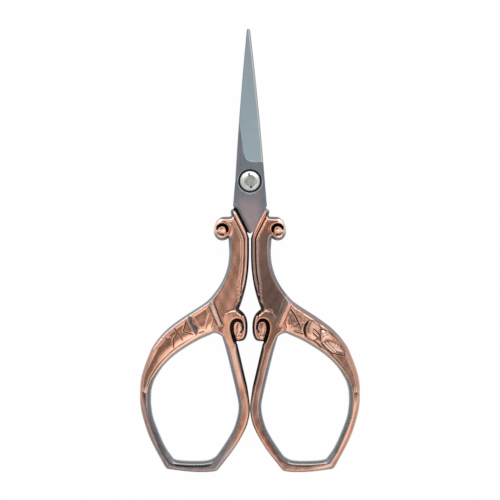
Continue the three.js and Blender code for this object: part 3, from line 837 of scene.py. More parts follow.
# the other face has a bud and a leaf
leafFace = {
    "chevron": ([(10.44, -33.18), (11.81, -35.18), (12.9, -37.64)], 0.36, 0.22),
    "facet": ([(9.86, -34.14), (10.51, -35.57), (11.0, -37.3)], 0.4, 0.12),
    "curl": ([(10.64, -37.77), (11.24, -37.12), (11.81, -37.12)], 0.3, 0.12),
    "underline": ([(11.4, -38.95), (12.59, -39.4), (13.81, -39.75)], 0.34, 0.2),
    "tickOne": ([(7.01, -36.99), (7.35, -38.03)], 0.28, 0.14),
    "tickTwo": ([(9.16, -36.86), (9.5, -38.03)], 0.28, 0.14),
    "sepal": ([(15.08, -36.34), (14.23, -37.64), (14.04, -38.68), (14.36, -40.21)], 0.6, 0.3),
    "petalOne": ([(16.43, -38.29), (17.47, -39.17), (17.91, -39.85)], 0.3, 0.2),
    "petalTwo": ([(16.28, -39.33), (17.63, -40.65)], 0.3, 0.2),
    "leafEdge": ([(18.51, -41.9), (19.7, -43.55), (21.49, -44.75), (24.17, -45.3)], 0.4, 0.2),
    "leafFoot": ([(16.48, -41.41), (17.65, -42.31), (18.56, -43.35)], 0.5, 0.2),
    "lobe": ([(19.4, -38.8), (20.1, -39.0), (22.0, -40.55), (23.25, -42.15), (24.1, -43.8)], 0.32, 0.16),
}
# ridges that lie beside some of these lines on their lit side, painted as highlights, and how far off
highlightRidges = {
    "chevron": (0.4, 0.1), "petalOne": (0.24, 0.2), "petalTwo": (0.24, 0.2), "underline": (0.06, 0.36),
    "sepal": (-0.5, 0.05),
}
leafShapes = {
    "bud": [
        (15.32, -36.47), (16.35, -36.29), (17.32, -36.6), (18.07, -37.54), (18.22, -39.02), (17.78, -40.5),
        (16.43, -41.28), (15.19, -40.89), (14.54, -39.72), (14.62, -37.9),
    ],
    "leaf": [
        (18.38, -39.02), (18.82, -38.58), (20.74, -39.33), (22.09, -40.65), (23.57, -42.6), (24.32, -44.08),
        (24.4, -44.83), (24.17, -45.14), (21.49, -44.55), (19.7, -43.35), (18.51, -41.72),
    ],
    "lobe": [
        (18.36, -38.47), (19.49, -38.66), (21.38, -39.41), (22.89, -40.73), (24.03, -42.62), (24.45, -44.0),
        (24.2, -43.9), (23.5, -42.75), (22.6, -41.75), (21.38, -41.1), (19.87, -40.95), (18.55, -41.3),
    ],
    "pad": [
        (11.81, -33.23), (13.24, -34.27), (14.93, -35.77), (14.41, -36.73), (13.24, -36.99), (12.54, -35.57),
    ],
}

# rise, lean and place of the bud, the leaf and the pads
carving = {
    "budMiddle": (16.3, -38.8), "budRise": 0.24, "budLean": (-0.17, 0.05), "budDome": 1.9, "lobeRise": 0.24,
    "leafHead": (18.95, -39.05), "headHalf": (0.55, 0.55), "headRise": 0.1, "headLean": -0.45,
    "padMiddle": 13.3, "padRise": 0.1, "padLean": -0.05, "ridgeWidth": 0.22, "ridgeRise": 0.08,
    "shoulderPatch": (5.6, -34.75), "patchHalf": (0.95, 0.55), "cutPadRise": 0.09, "wedgeDepth": 0.3,
}

# middle of the shank's panel: distances below the pivot, and from the centre line
panelMiddle = ((10.4, 13.5, 18, 22, 26, 29, 33.5), (4.9, 3.3, 2.97, 3.1, 3.55, 4.3, 5.6))

# the upper scroll's crotch; the lower scroll's shoulder under the shank's panel, and its groove round the eye
scrollCrotch = ([(5.8, -14.3), (5.5, -15.0)], 0.36, 0.35)
scrollShoulder = smoothLine([
    (-2, -33.2), (2.6, -33.5), (3.6, -33.55), (4.3, -33.6), (4.9, -33.75), (5.6, -34.05), (6.25, -34.5),
    (6.85, -35.2), (7.25, -36.2), (7.35, -37.2), (7.35, -42),
], 5)
lowerSpiral = smoothLine([
    (3.4, -42.5), (3.8, -41.6), (4.3, -40.2), (4.72, -38.2), (4.5, -36.9), (3.9, -36.25), (3.2, -36.1),
    (2.5, -36.35), (2.05, -36.95), (1.85, -37.9), (1.95, -38.75), (2.35, -39.3),
])


def outerTipAt(edge, hole):  # the ornament's end, rounded across the ring
    across = edge / np.maximum(edge + hole, 1e-6)
    return handle["tipY"] + 2.6 * np.abs(across - 0.52) ** 1.4


def handleFields(plan, loop, dress, holeLoop):  # distances that both faces share
    x, y = plan.T
    edge, nearest = loopGap(plan, loop)
    hole = loopGap(plan, holeLoop)[0]
    f = dict(zip(dressNames, dress[nearest].T))
    f.update(x=x, y=y, edge=edge, hole=hole)
    edges = dict(handleEdges())
    inner = np.vstack([edges[name][::-1] for name in ("slant", "mating", "notch")])
    closeUp = 1 + 0.9 * before(y, -26.5, 6)  # the ribs close up towards the notch
    f["rib"] = lineGap(plan, evenLine(inner, 0.3))[0] * closeUp
    f["slantGap"] = lineGap(plan, edges["slant"])[0]
    lowStrut = before(y, -51, 9) * (x < 9.5)  # where the painted shade on the strut's edge runs out
    aboveScroll = before(y, -30.8, 1.6) * (x < 4.2) * (y > -35)
    f["edgeSoot"] = f["edgeSoot"] * (1 - lowStrut)
    f["bevel"] = f["bevel"] * (1 - 0.45 * lowStrut) * (1 + 0.55 * aboveScroll)
    top, foot = np.array(band["ornamentSide"])
    length = np.hypot(*(foot - top))
    way = (foot - top) / length
    toShank = np.array((way[1], -way[0]))
    f["bandAlong"], f["bandAcross"] = ((plan - top) @ way) / length, (plan - top) @ toShank
    for side in ("leafShankSide", "cutShankSide"):
        first, last = ((np.array(p) - top) @ toShank for p in band[side])
        f[side] = first + (last - first) * np.clip(f["bandAlong"], 0, 1)
    gap = lineGap(plan, scrollShoulder)[0]
    underShoulder = np.vstack([scrollShoulder, [(7.35, -60), (-2, -60)]])
    f["shoulder"] = np.where(insideOf(plan, underShoulder), -gap, gap)  # above it positive
    left = zone["ornamentLeft"]
    f["taper"] = before(y, zone["taperTop"], 8) * past(x, left, 3)  # grows to the tip of the ornament
    outerRing = before(y, outerTipAt(edge, hole), 0.45 + 2.5 * before(hole, 1.3, 0.6))
    f["ring"] = np.where(x > left, outerRing, before(y, -40.5, 5))
    farSide, strutSide = before(y, -47, 8) * past(x, 12, 4), before(y, -40, 3) * before(x, 12, 3)
    f["holeBevel"] = 0.5 + 0.55 * farSide + 0.35 * strutSide + 0.2 * before(y, -68, 3)
    return f


def cutInto(plan, line, width, depth):
    gap, along = lineGap(plan, line)
    taper = 0.55 + 0.45 * ramp(np.minimum(along, 1 - along) / 0.3)
    return depth * ramp((1 - gap / (width * taper / 2 + 0.05)) * 1.1)


class Face:  # one face of a handle while it is shaped: heights, and masks of black (patina in the cuts, painted shade elsewhere), grey oxide, and light copper (wear and painted highlights)
    def __init__(self, plan, fields, isLeaf):
        self.plan, self.f, self.isLeaf, self.dress = plan, fields, isLeaf, leafDress if isLeaf else cutDress
        self.x, self.y, self.edge, self.hole = (fields[name] for name in ("x", "y", "edge", "hole"))
        self.bandWidth = fields[self.dress["shankSide"]]
        self.z = handle["face"] - handle["ringDrop"] * fields["ring"]
        self.soot, self.oxide, self.wear = np.zeros((3, len(plan)))

    def lay(self, **masks):  # a mask keeps the strongest value laid on it
        for name, mask in masks.items():
            setattr(self, name, np.maximum(getattr(self, name), mask))

    def away(self, spot, half=(1, 1)):  # distance from a spot, in half widths of an oval round it
        return np.hypot((self.x - spot[0]) / half[0], (self.y - spot[1]) / half[1])


def dressEdges(face):
    f, x, y, edge = face.f, face.x, face.y, face.edge
    broad = face.isLeaf * past(x, 9, 3) * past(y, -56, 6)  # the leaf's side of the bow has a broader bevel
    bevel = f["bevel"] * (1 + 0.5 * broad)
    ease = (0.08 + 0.2 * f["edgeWear"] + 0.15 * f["ring"]) * (1 - 0.5 * broad)
    turn = np.clip(1 - edge / f["round"], 0, 1)
    face.drop = f["slope"] * overZero(bevel - edge, ease) + f["round"] * (1 - np.sqrt(1 - turn ** 2 * 0.98))
    besideLeaf = before(y, -38, 5) * (y > handle["tipY"]) * (x > zone["ornamentLeft"])
    grey = f["edgeOxide"] * (1 - 0.6 * besideLeaf) * (1 - 0.25 * broad)
    face.lay(oxide=grey * before(edge, bevel * f["greyShare"] + 0.05, 0.22 + 0.4 * broad))
    # painted shade on the edges' bevels, less beside the slant on the leaf face
    besideSlant = face.isLeaf * before(f["slantGap"], 0.9, 0.3)
    black = np.maximum(f["edgeSoot"] * (1 - 0.9 * besideSlant), 0.22 * broad * past(y, -46, 6))
    face.lay(soot=black * before(edge, bevel, 0.22))
    meeting = near(y, zone["meeting"], 2.2) * before(x, 1.6, 0.4)  # painted shade where the levers meet when closed
    face.lay(soot=0.9 * meeting * before(edge, 0.4, 0.25))
    # wear and a painted highlight along the ridge inside the bevel
    face.lay(wear=f["edgeWear"] * (1 - 0.7 * f["taper"]) * near(edge - bevel, 0.05, 0.11))
    middle = handle["upperScroll"]
    face.curl = before(face.away(middle), 3.1, 0.4) * before(f["edgeOxide"], 0.85, 0.2)
    # the upper scroll's curl: light at its edge as wear and painted highlight, grey on its lower rim as
    # painted shade
    face.lay(wear=face.curl * before(edge, 1.4, 0.2))
    face.lay(oxide=0.8 * face.curl * before(edge, 0.55, 0.35) * before(y, middle[1] + 0.6, 1.6))


def dressHole(face):  # bevel of the finger hole, with a grey step at the bow's foot
    x, y, hole, d, bevel = face.x, face.y, face.hole, face.dress, face.f["holeBevel"]
    stepLow, stepHigh = zone["footStep"]
    atFoot = before(y, zone["footTop"], 0.9) * past(x, zone["footLeft"], 1.4)
    atFoot = atFoot * before(x, zone["footRight"], 1.4)
    face.holeDrop = 0.85 * overZero(bevel - hole, 0.08) * (1 - atFoot)
    face.holeDrop += 0.2 * np.clip(1 - hole / 0.2, 0, 1) ** 2
    face.holeDrop += atFoot * (0.45 * overZero(1.0 - hole, 0.04) + 0.6 * overZero(0.68 - hole, 0.04))
    face.lay(oxide=0.95 * before(hole, bevel + (stepLow - bevel) * atFoot + 0.04, 0.16))
    dark = (0.24 + 0.36 * before(y, -57, 9)) * before(y, -46, 6) * (1 - atFoot)
    face.lay(soot=dark * before(hole, bevel + 0.1, 0.2) * past(hole, 0.15, 0.5))
    step = atFoot * past(hole, stepLow, 0.08) * before(hole, stepHigh, 0.08)
    # painted shade in the line below the foot's step
    stepLine = 0.95 * near(hole, 1.25, d["footLine"]) + d["footBlack"] * past(hole, 1.2, 0.2)
    face.lay(soot=atFoot * stepLine * (1 - step))
    face.oxide *= 1 - step
    face.lay(oxide=d["footGrey"] * step, wear=step)
    face.lay(soot=0.45 * atFoot * before(hole, stepLow, 0.1) * past(hole, 0.1, 0.2))
    face.sole = before(y, zone["soleTop"], 1)
    face.lay(soot=0.12 * face.sole * past(hole, 1.1, 0.3))
    if not face.isLeaf:
        farRing = before(y, -56, 7) * past(x, 10, 3) * (1 - atFoot)
        face.lay(soot=0.7 * farRing * near(hole - bevel, 0.12, 0.22 + 0.2 * before(y, -63, 7)))
    # a painted highlight along the finger hole's bevel, stronger on the cut face
    face.lay(wear=d["holeWear"] * near(hole - bevel, 0.2, 0.22) * (1 - before(y, -58, 5)))
    face.atFoot, face.step = atFoot, step


def leanInward(face):  # strut and lower scroll lean to the middle
    f, x, y, hole, tilt = face.f, face.x, face.y, face.hole, handle["inwardTilt"]
    onStrut = before(y, zone["strutTop"], 5) * past(y, zone["strutFoot"], 11)
    onStrut = onStrut * before(x, zone["strutRight"], 2)
    across = (hole - face.edge) / 2
    if face.isLeaf:
        across = np.clip(across, -1.2, 1.2)
        roll = (0.02 + 0.02 * past(y, -57, 8)) * overZero(0.05 - across, 0.08)
        farRing = f["ring"] * past(x, 16, 3)
        face.z -= onStrut * (roll + 0.02 * (1.2 - across)) + 0.13 * farRing * np.clip(hole - 1, 0, 1.4)
        face.lay(wear=0.25 * farRing, oxide=np.maximum(0.22 * onStrut, 0.25 * face.sole))
        lowStrut = before(y, -57, 10) * before(x, 12, 2) * (1 - face.atFoot)
        face.lay(soot=0.7 * lowStrut * near(hole - f["holeBevel"], 0.05, 0.5))
    else:
        face.z -= tilt * onStrut * (1 - 0.68 * before(y, -50, 8)) * np.clip(across + 0.9, 0, 1.8)
        face.lay(wear=0.35 * onStrut * past(y, -55, 5), soot=0.08 * onStrut * before(y, -52, 6))
    onScroll = past(y, -45, 5) * before(f["shoulder"], 0.1, 0.5)
    face.z -= tilt * onScroll * (np.clip(7.1 - x, 0, 2.6) + 0.4 * np.clip(4.5 - x, 0, 4))


def raiseRibs(face):  # ridge, groove and second ridge along the inner edge of the shank
    h, y, d, rib = handle, face.y, face.dress, face.f["rib"]
    share = past(y, zone["ribFoot"], 3.5) * before(y, zone["ribTop"], 0.7)
    face.z -= share * (h["ridge"][2] * before(rib, 2.2, 0.3) + d["ribFall"] * np.clip(1.0 - rib, 0, 1))
    for (spot, width, height), way in ((h["ridge"], 1), (h["groove"], -1), (h["secondRidge"], 1)):
        face.z += way * height * share * near(rib, spot, width)
    face.lay(soot=d["grooveBlack"] * share * near(rib, h["groove"][0], h["groove"][1] * 1.2))
    # painted highlights along the two ridges, stronger on the cut face
    for name, worn in (("ridge", "ridgeWear"), ("secondRidge", "secondWear")):
        face.lay(wear=d[worn] * share * near(rib, h[name][0], 0.18))
    if face.isLeaf:
        # the leaf face's panel beside the ribs is painted in shade, grey and dark
        shaded = share * before(rib, 2.0, 0.3) * before(y, -13, 3)
        face.lay(oxide=0.45 * shaded, soot=(0.14 + 0.14 * before(rib, 1.1, 0.3)) * shaded)


def sinkPanel(face):  # panel of the shank; it leans to the middle and runs into the outer bevel
    h, x, y, d, rib, shoulder = handle, face.x, face.y, face.dress, face.f["rib"], face.f["shoulder"]
    pastBand = face.f["bandAcross"] - face.bandWidth
    fromWell = face.away(h["wellMiddle"]) - 2.3
    fromTop = np.where(y > zone["panelTop"], face.edge - 1.0, 9)
    fromBand = (pastBand - 0.05) * d["bandBlend"]
    panel = ramp(np.minimum.reduce([rib - 1.7, shoulder, fromBand, fromWell, fromTop]) / 0.3)
    panelDrop = panel * (d["panelDrop"] - h["panelTilt"] * np.clip(x - np.interp(-y, *panelMiddle), -1.2, 4))
    # painted light and shade on the panel: on the leaf face grey at the top and dark lower down, on the cut
    # face lighter above and a little darker in the middle
    if face.isLeaf:
        face.lay(oxide=0.3 * before(y, zone["panelTop"], 4) * panel)
        dark = (0.1 + 0.32 * before(y, -17, 12)) * before(y, -11, 3)
        face.lay(soot=dark * past(rib, 1.6, 0.3) * ramp(shoulder / 0.5) * ramp(pastBand / 0.6))
    else:
        face.lay(oxide=0.05 * panel, wear=0.25 * panel * past(y, -18, 5), soot=0.12 * panel * near(y, -23, 7))
    # a painted highlight along the lower scroll's shoulder
    face.lay(wear=near(shoulder, -0.18, 0.22) * past(x, 3.0, 0.5) * before(x, d["shoulderEnd"], 0.8))
    crest = 0.45 * np.clip(shoulder + 0.5, 0, 0.5) * before(shoulder, 0.9, 0.5)
    crest *= past(x, 2.4, 0.6) * before(x, 6.4, 0.8)
    face.z -= np.maximum.reduce([face.drop, face.holeDrop, panelDrop, crest])


def raiseBand(face):  # the slanting band, with a line cut along each side
    d, edge, width = face.dress, face.edge, face.bandWidth
    across, along = face.f["bandAcross"], face.f["bandAlong"]
    lift = past(across, -0.05, 0.1) * before(across, width + 0.05, 0.1)
    lift *= past(along, -0.2, 0.15) * before(along, 1.06, 0.12)
    inward, ended = past(edge, 0.75, 0.3), before(along, 1.0, 0.1)
    q, ridge = across / np.maximum(width, 0.2), band["ridge"]
    roof = band["fall"] * q
    if face.isLeaf:
        roof = 0.15 * np.clip(ridge - q, 0, 1) / ridge + 0.06 * np.clip(q - ridge, 0, 1)
        # painted shade beside the band on the leaf face, laid as grey and black
        shade = near(across - width, 0.1, 0.4) * ended * past(edge, 0.9, 0.3)
        face.lay(oxide=np.maximum(0.55 * lift * past(q, 0.4, 0.2), 0.7 * shade), soot=0.3 * shade)
    face.z += lift * (band["rise"] - roof) * inward
    # painted highlight across the band and at its top end
    face.lay(wear=lift * np.maximum(d["bandWear"] * inward, d["bandTopWear"] * near(edge, 1.05, 0.25)))
    marks = ((across + 0.13, band["ornamentMark"]), (across - width - 0.12, d["shankMark"]))
    for gap, (wide, deep, dark) in marks:
        mark = hump(gap / wide) * ended * past(edge, 1.0, 0.3) * past(face.hole, 0.9, 0.4)
        face.z -= deep * mark
        face.lay(soot=dark * mark)


def sinkCrescent(face):  # sunk ground of the ornament, a soft swell that falls to the finger hole
    h, x, edge, hole, d = handle, face.x, face.edge, face.hole, face.dress
    taper, ring = face.f["taper"], face.f["ring"]
    onCrown = past(x, zone["crownLeft"], 2) * (1 - ring)
    inFrom = edge - d["rim"] + 0.3 * taper
    ground = ramp(np.minimum(inFrom, -face.f["bandAcross"] - 0.1) / 0.5) * onCrown
    swell = 3 - 1.6 * taper
    face.z -= d["sink"] * (1 - 0.5 * taper) * ground * (1 - 0.3 * before(hole, 4.2, 2))
    face.z -= 0.045 * onCrown * overZero(swell - hole, 0.3) ** 2
    face.z -= d["groundBow"] * ground * np.clip(inFrom, 0, 6) ** 2
    face.lay(oxide=(d["groundGrey"] + 0.12 * taper) * ground * past(hole, 0.73 * swell, 0.47 * swell))
    face.lay(soot=0.07 * ground * past(hole, 0.8 * swell, 1))
    face.lay(wear=0.3 * ground * before(hole, 0.93 * swell, 1))
    rimLine = near(hole, 1.28, 0.11) * past(x, 13, 3) * (1 - ring) * past(edge, 1.0, 0.3)
    # painted shadow in the notch beyond the ornament's end
    below = outerTipAt(edge, hole) - face.y
    notch = past(below, -0.1, 0.2) * hump(overZero(below, 0.1) / 2) * past(x, 25, 1)
    notch *= past(hole, 1.1, 0.3) * past(edge, 0.5, 0.4)
    knob = hump(face.away(h["knob"], h["knobHalf"]))  # the ornament's raised end, light as wear and painted highlight
    face.z += h["knobRise"] * knob - h["rimLineDepth"] * rimLine - h["tipNotchDepth"] * notch
    face.lay(soot=np.maximum(0.5 * rimLine, 0.85 * notch), wear=0.7 * knob)


def cutUpperScroll(face):  # a groove round the eye, open where the curl joins it
    h, edge, curl = handle, face.edge, face.curl
    away = face.plan - h["wellMiddle"]
    r, turn = np.hypot(*away.T), np.degrees(np.arctan2(away[:, 1], away[:, 0]))
    turn = np.where(turn < -110, turn + 360, turn)
    half = h["wellHalf"] * (0.4 + 0.6 * past(turn, -10, 70)) * (1 - 0.35 * past(turn, 150, 50))
    off = np.abs(r - h["wellRadius"] - 0.05 * np.sin(np.radians(turn)))
    well = past(turn, -12, 45) * before(turn, 216, 28) / (1 + (off / half) ** 6)
    face.z -= h["wellDepth"] * well
    face.z -= (0.2 * np.clip(r / h["eyeRadius"], 0, 1) ** 2 + 0.2 - 0.2 * away[:, 1]) * (r < h["wellRadius"])
    # the groove is black; the eye's middle is light as wear and painted highlight
    face.lay(soot=ramp(well * 1.25), wear=0.6 * hump(r / 0.75))
    face.lay(soot=0.85 * near(r, 1.2, 0.26) * before(turn, -5, 25))
    # painted shade on the curl's lower outer edge
    face.lay(soot=0.62 * curl * before(edge, 0.85, 0.45) * before(away[:, 1], -0.3, 1.2))
    bead = np.clip((1.4 - edge) / 1.4, 0, 1)  # the curl falls round from the groove to its outline
    crotch = cutInto(face.plan, *scrollCrotch)
    face.z -= 0.5 * bead ** 2 * curl * past(r, h["wellRadius"], 0.3) + crotch
    face.lay(soot=ramp(crotch / 0.4))


def cutLowerScroll(face):  # a spiral groove that runs out of the slit
    h = handle
    gap, along = lineGap(face.plan, lowerSpiral)
    inward = past(along, 0.68, 0.12)  # its last limb is thin, with its wall painted grey as a painted reflection
    half = h["spiralHalf"] - 0.03 * past(along, 0.5, 0.2) - 0.13 * inward
    groove = (1 - 0.55 * past(along, 0.75, 0.25)) / (1 + (gap / half) ** 6)
    wall = inward * before(face.x, 2.2, 0.2)
    face.lay(soot=ramp(groove * 2) * (1 - 0.3 * inward) * (1 - 0.9 * wall))
    face.lay(oxide=wall * before(gap, 0.4, 0.15))
    eye = face.away(h["lowerEye"], h["lowerEyeHalf"])
    face.z -= h["spiralDepth"] * groove
    face.z -= (0.12 * np.clip(eye, 0, 1) ** 2 + 0.08 * np.clip(-37 - face.y, 0, 2)) * before(eye, 1.5, 0.5)
    # the eye's middle is light as wear and painted highlight
    face.lay(wear=0.45 * hump(eye / 0.8))


def cutLines(face):
    for line, width, depth in (leafFace if face.isLeaf else cutFace).values():
        mark = cutInto(face.plan, line, width, depth)
        face.z -= mark
        face.lay(soot=0.8 * ramp(mark / 0.16))


def carveLeaf(face):
    c, plan, x, y = carving, face.plan, face.x, face.y
    patch = hump(face.away(c["shoulderPatch"], c["patchHalf"]))  # a dark place on the scroll's shoulder
    face.lay(soot=0.35 * patch, oxide=0.9 * patch)
    bud, leaf, lobe = (depthIn(plan, smoothLoop(leafShapes[name], 5)) for name in ("bud", "leaf", "lobe"))
    pad = ramp(depthIn(plan, leafShapes["pad"]) / 0.25)
    # a painted highlight at the head of the leaf
    head = hump(face.away(c["leafHead"], c["headHalf"]))
    budLean = c["budLean"][0] * (x - c["budMiddle"][0]) + c["budLean"][1] * (y - c["budMiddle"][1])
    face.z += (c["budRise"] + budLean) * np.clip(bud / c["budDome"], 0, 1) ** 0.3
    face.z += c["lobeRise"] * np.sqrt(ramp(lobe / 0.9))
    face.z += (c["headRise"] + c["headLean"] * (y - c["leafHead"][1])) * head
    face.z += (c["padRise"] + c["padLean"] * (x - c["padMiddle"])) * pad
    face.oxide *= (1 - 0.85 * np.maximum(ramp(bud / 0.3), ramp(leaf / 0.5))) * (1 - 0.7 * pad)
    # painted highlights on the bud, the head of the leaf and the lobe
    budHighlight = (0.15 + 0.2 * past(y, -39.5, 2)) * ramp(bud / 0.5)
    face.lay(wear=np.maximum.reduce([budHighlight, 0.9 * head, 0.45 * ramp(lobe / 0.3)]))
    # painted shade on the leaf's ground under the barbs
    face.lay(soot=0.1 * ramp(leaf / 0.2) * ramp(-lobe / 0.2) * before(y, -41, 0.4))
    face.lay(soot=0.8 * np.maximum(near(bud, -0.1, 0.16), near(leaf, -0.12, 0.18)))
    # raised ridges on the lit side of some cuts, painted as highlights
    for name, shift in highlightRidges.items():
        ridge = cutInto(plan, np.add(leafFace[name][0], shift), c["ridgeWidth"], 1.0)
        face.z += c["ridgeRise"] * ridge
        face.soot *= 1 - 0.8 * ridge
        face.oxide *= 1 - 0.7 * ridge
        face.lay(wear=0.9 * ridge)


def carveChevrons(face):
    x, y = face.x, face.y
    wedge, pad = depthIn(face.plan, cutShapes["wedge"]), ramp(depthIn(face.plan, cutShapes["pad"]) / 0.3)
    face.z += carving["cutPadRise"] * pad - carving["wedgeDepth"] * past(wedge, -0.15, 0.35)
    face.oxide *= 1 - 0.6 * pad
    inWedge = past(wedge, -0.2, 0.3)
    face.lay(soot=0.6 * inWedge, oxide=0.8 * inWedge)
    face.lay(oxide=0.72 * before(y, -58, 8) * past(x, 1, 6) * (1 - 0.4 * face.step))
    face.lay(oxide=0.45 * before(y, -54, 4) * past(x, 18, 3))


def handleFace(plan, fields, isLeaf):  # height of one face, with its grey, black and worn places
    face = Face(plan, fields, isLeaf)
    for shape in (
        dressEdges, dressHole, leanInward, raiseRibs, sinkPanel, raiseBand, sinkCrescent, cutUpperScroll,
        cutLowerScroll, cutLines, carveLeaf if isLeaf else carveChevrons,
    ):
        shape(face)
    x, y = plan.T
    face.z += handle["unevenness"] * (np.sin(1.9 * x + 0.7 * y) + np.sin(1.3 * y - 2.2 * x + 1))
    masks = {name: np.clip(getattr(face, name), 0, 1) for name in ("oxide", "soot", "wear")}
    return np.minimum(face.z, handle["face"]), masks


def makeHandlePlan():
    h = handle
    loop, dress = [], []
    for kind, line in handleEdges():
        part = evenLine(line, h["step"])
        loop.append(part[:-1])
        dress += [edgeDress[kind]] * (len(part) - 1)
    loop, dress, spread = np.vstack(loop), np.array(dress), h["dressSpread"]
    dress = sum(np.roll(dress, i, axis=0) for i in range(-spread, spread + 1)) / (2 * spread + 1)
    wound = windLoop(loop)
    if wound is not loop:
        dress = dress[::-1]
    hole = windLoop(evenLine(np.vstack([fingerHole(), fingerHole()[:1]]), h["step"])[:-1], left=False)
    groups = []
    for reach in (0.16, 0.32, 0.5, 0.6, 0.75, 0.9, 1.06, 1.25, 1.47, 1.7):
        for ring in (wound, hole):
            line = besideLoop(ring, reach)
            gap = np.minimum(loopGap(line, wound)[0], loopGap(line, hole)[0])
            groups.append((line[gap > reach * 0.94], 0.11))
    groups += [(besideLoop(hole, reach), 0.1) for reach in (1.16, 1.34, 1.58, 1.9, 2.1, 2.35)]
    for side, away in (("ornamentSide", 0.13), ("leafShankSide", -0.1), ("cutShankSide", -0.1)):
        reaches = (away + reach for reach in (0, -0.1, 0.1, -0.2, 0.2))
        groups += aside(evenLine(band[side], 0.13), 0.08, *reaches)
    groups += aside(evenLine(lowerSpiral, 0.14), 0.08, 0, -0.18, 0.18, -0.34, 0.34, -0.48, 0.48, -0.62, 0.62)
    for line, width, _ in [*cutFace.values(), *leafFace.values()]:
        reaches = (share * width / 2 for share in (0, -0.5, 0.5, -0.95, 0.95, -1.4, 1.4))
        groups += aside(evenLine(line, 0.11), 0.07, *reaches)
    for name, away in highlightRidges.items():
        groups += aside(evenLine(np.add(leafFace[name][0], away), 0.11), 0.07, 0, -0.09, 0.09, -0.18, 0.18)
    for radius in (0.55, 0.8, 1.0, 1.12, 1.24, 1.45, 1.66, 1.78, 1.9):
        turns = np.linspace(0, 2 * math.pi, int(40 * radius))
        groups.append((np.array([polar(radius, a, h["wellMiddle"]) for a in turns]), 0.1))
    groups.append((hexGrid(wound.min(0), wound.max(0), h["grid"]), 0.15))
    plan, tris, rims = fillPlan([besideLoop(wound, h["draft"]), besideLoop(hole, h["draft"])], groups)
    return plan, tris, rims, wound, dress, hole


plan, tris, rims, outline, dress, hole = makeHandlePlan()
fields = handleFields(plan, outline, dress, hole)
leafZ, leafMasks = handleFace(plan, fields, True)
cutZ, cutMasks = handleFace(plan, fields, False)


def makeHandle(name, where, body, node):
    h = handle
    shell = Shell()
    front = shell.fill(atHeight(plan, leafZ), tris, **leafMasks)
    back = shell.fill(atHeight(plan, -cutZ), tris[:, ::-1], **cutMasks)
    turns = range(-h["wallSpread"], h["wallSpread"] + 1, 6)
    wall = sum(np.roll(dress, i, axis=0) for i in turns) / len(turns)  # its tone changes slowly
    tones = dict(zip(dressNames, wall.T))
    # the outer wall is grey and carries the painted shade of its edge's bevel
    outerTone = {"oxide": np.clip(tones["edgeOxide"] + 0.25, 0, 1), "soot": tones["edgeSoot"]}
    holeTone = {"oxide": 0.95, "soot": 0.1}
    for loop, rim, tone in ((outline, rims[0], outerTone), (hole, rims[1], holeTone)):
        high, low = (shell.add(atHeight(loop, z), **tone) for z in (h["parting"], -h["parting"]))
        shell.strip(front[rim], high, low, back[rim])
    settle(name, shell.mesh(name, where, antiqueCopper, 50), body, node)


makeHandle("rightHandle", np.asarray, "front_lever", "right_handle")
makeHandle("leftHandle", turnedOver, "rear_lever", "left_handle")

# Geometry Nodes trees

def newTree(name, inputs):
    tree = bpy.data.node_groups.new(name, "GeometryNodeTree")
    tree.interface.new_socket(name="Geometry", in_out="INPUT", socket_type="NodeSocketGeometry")
    for label, value in inputs.items():
        kind = "NodeSocketInt" if isinstance(value, int) else "NodeSocketFloat"
        tree.interface.new_socket(name=label, in_out="INPUT", socket_type=kind).default_value = value
    tree.interface.new_socket(name="Geometry", in_out="OUTPUT", socket_type="NodeSocketGeometry")
    return tree, tree.nodes.new("NodeGroupInput").outputs, tree.nodes.new("NodeGroupOutput").inputs


def finishTree(tree, out, shape, material):
    smooth = place(tree, "GeometryNodeSetShadeSmooth", Geometry=shape)
    real = place(tree, "GeometryNodeRealizeInstances", Geometry=smooth.outputs[0])
    dressed = place(tree, "GeometryNodeSetMaterial", Geometry=real.outputs[0], Material=material)
    tree.links.new(dressed.outputs[0], out[0])


def growMesh(name, tree, values, rail):  # runs a tree on a line of points and gives back a plain mesh
    seed = bpy.data.meshes.new(name + "Rail")
    seed.from_pydata([tuple(p) for p in rail], [(i, i + 1) for i in range(len(rail) - 1)], [])
    carrier = bpy.data.objects.new(name + "Rail", seed)
    scene.collection.objects.link(carrier)
    modifier = carrier.modifiers.new("grow", "NODES")
    modifier.node_group = tree
    sockets = {s.name: s.identifier for s in tree.interface.items_tree if s.in_out == "INPUT"}
    for label, value in values.items():
        modifier[sockets[label]] = value
    shaped = carrier.evaluated_get(bpy.context.evaluated_depsgraph_get())
    mesh = bpy.data.meshes.new_from_object(shaped)
    mesh.name = name
    kept = [m for m in mesh.materials if m]
    mesh.materials.clear()
    mesh.materials.append(kept[0])
    mesh.polygons.foreach_set("material_index", [0] * len(mesh.polygons))
    carrier.modifiers.clear()
    bpy.data.objects.remove(carrier)
    return mesh


def movePoints(mesh, where):  # from mm about the pivot into the frame
    co = np.empty(len(mesh.vertices) * 3)
    mesh.vertices.foreach_get("co", co)
    mesh.vertices.foreach_set("co", toFrame(where(co.reshape(-1, 3))).ravel())
    faceOutward(mesh, weld=1e-7)
    mesh.update()


washer = {"Inner Radius": 1.56, "Outer Radius": 3.02, "Thickness": 0.25, "Sides": 96}
washerSeat, washerFillet = 0.89, 0.05


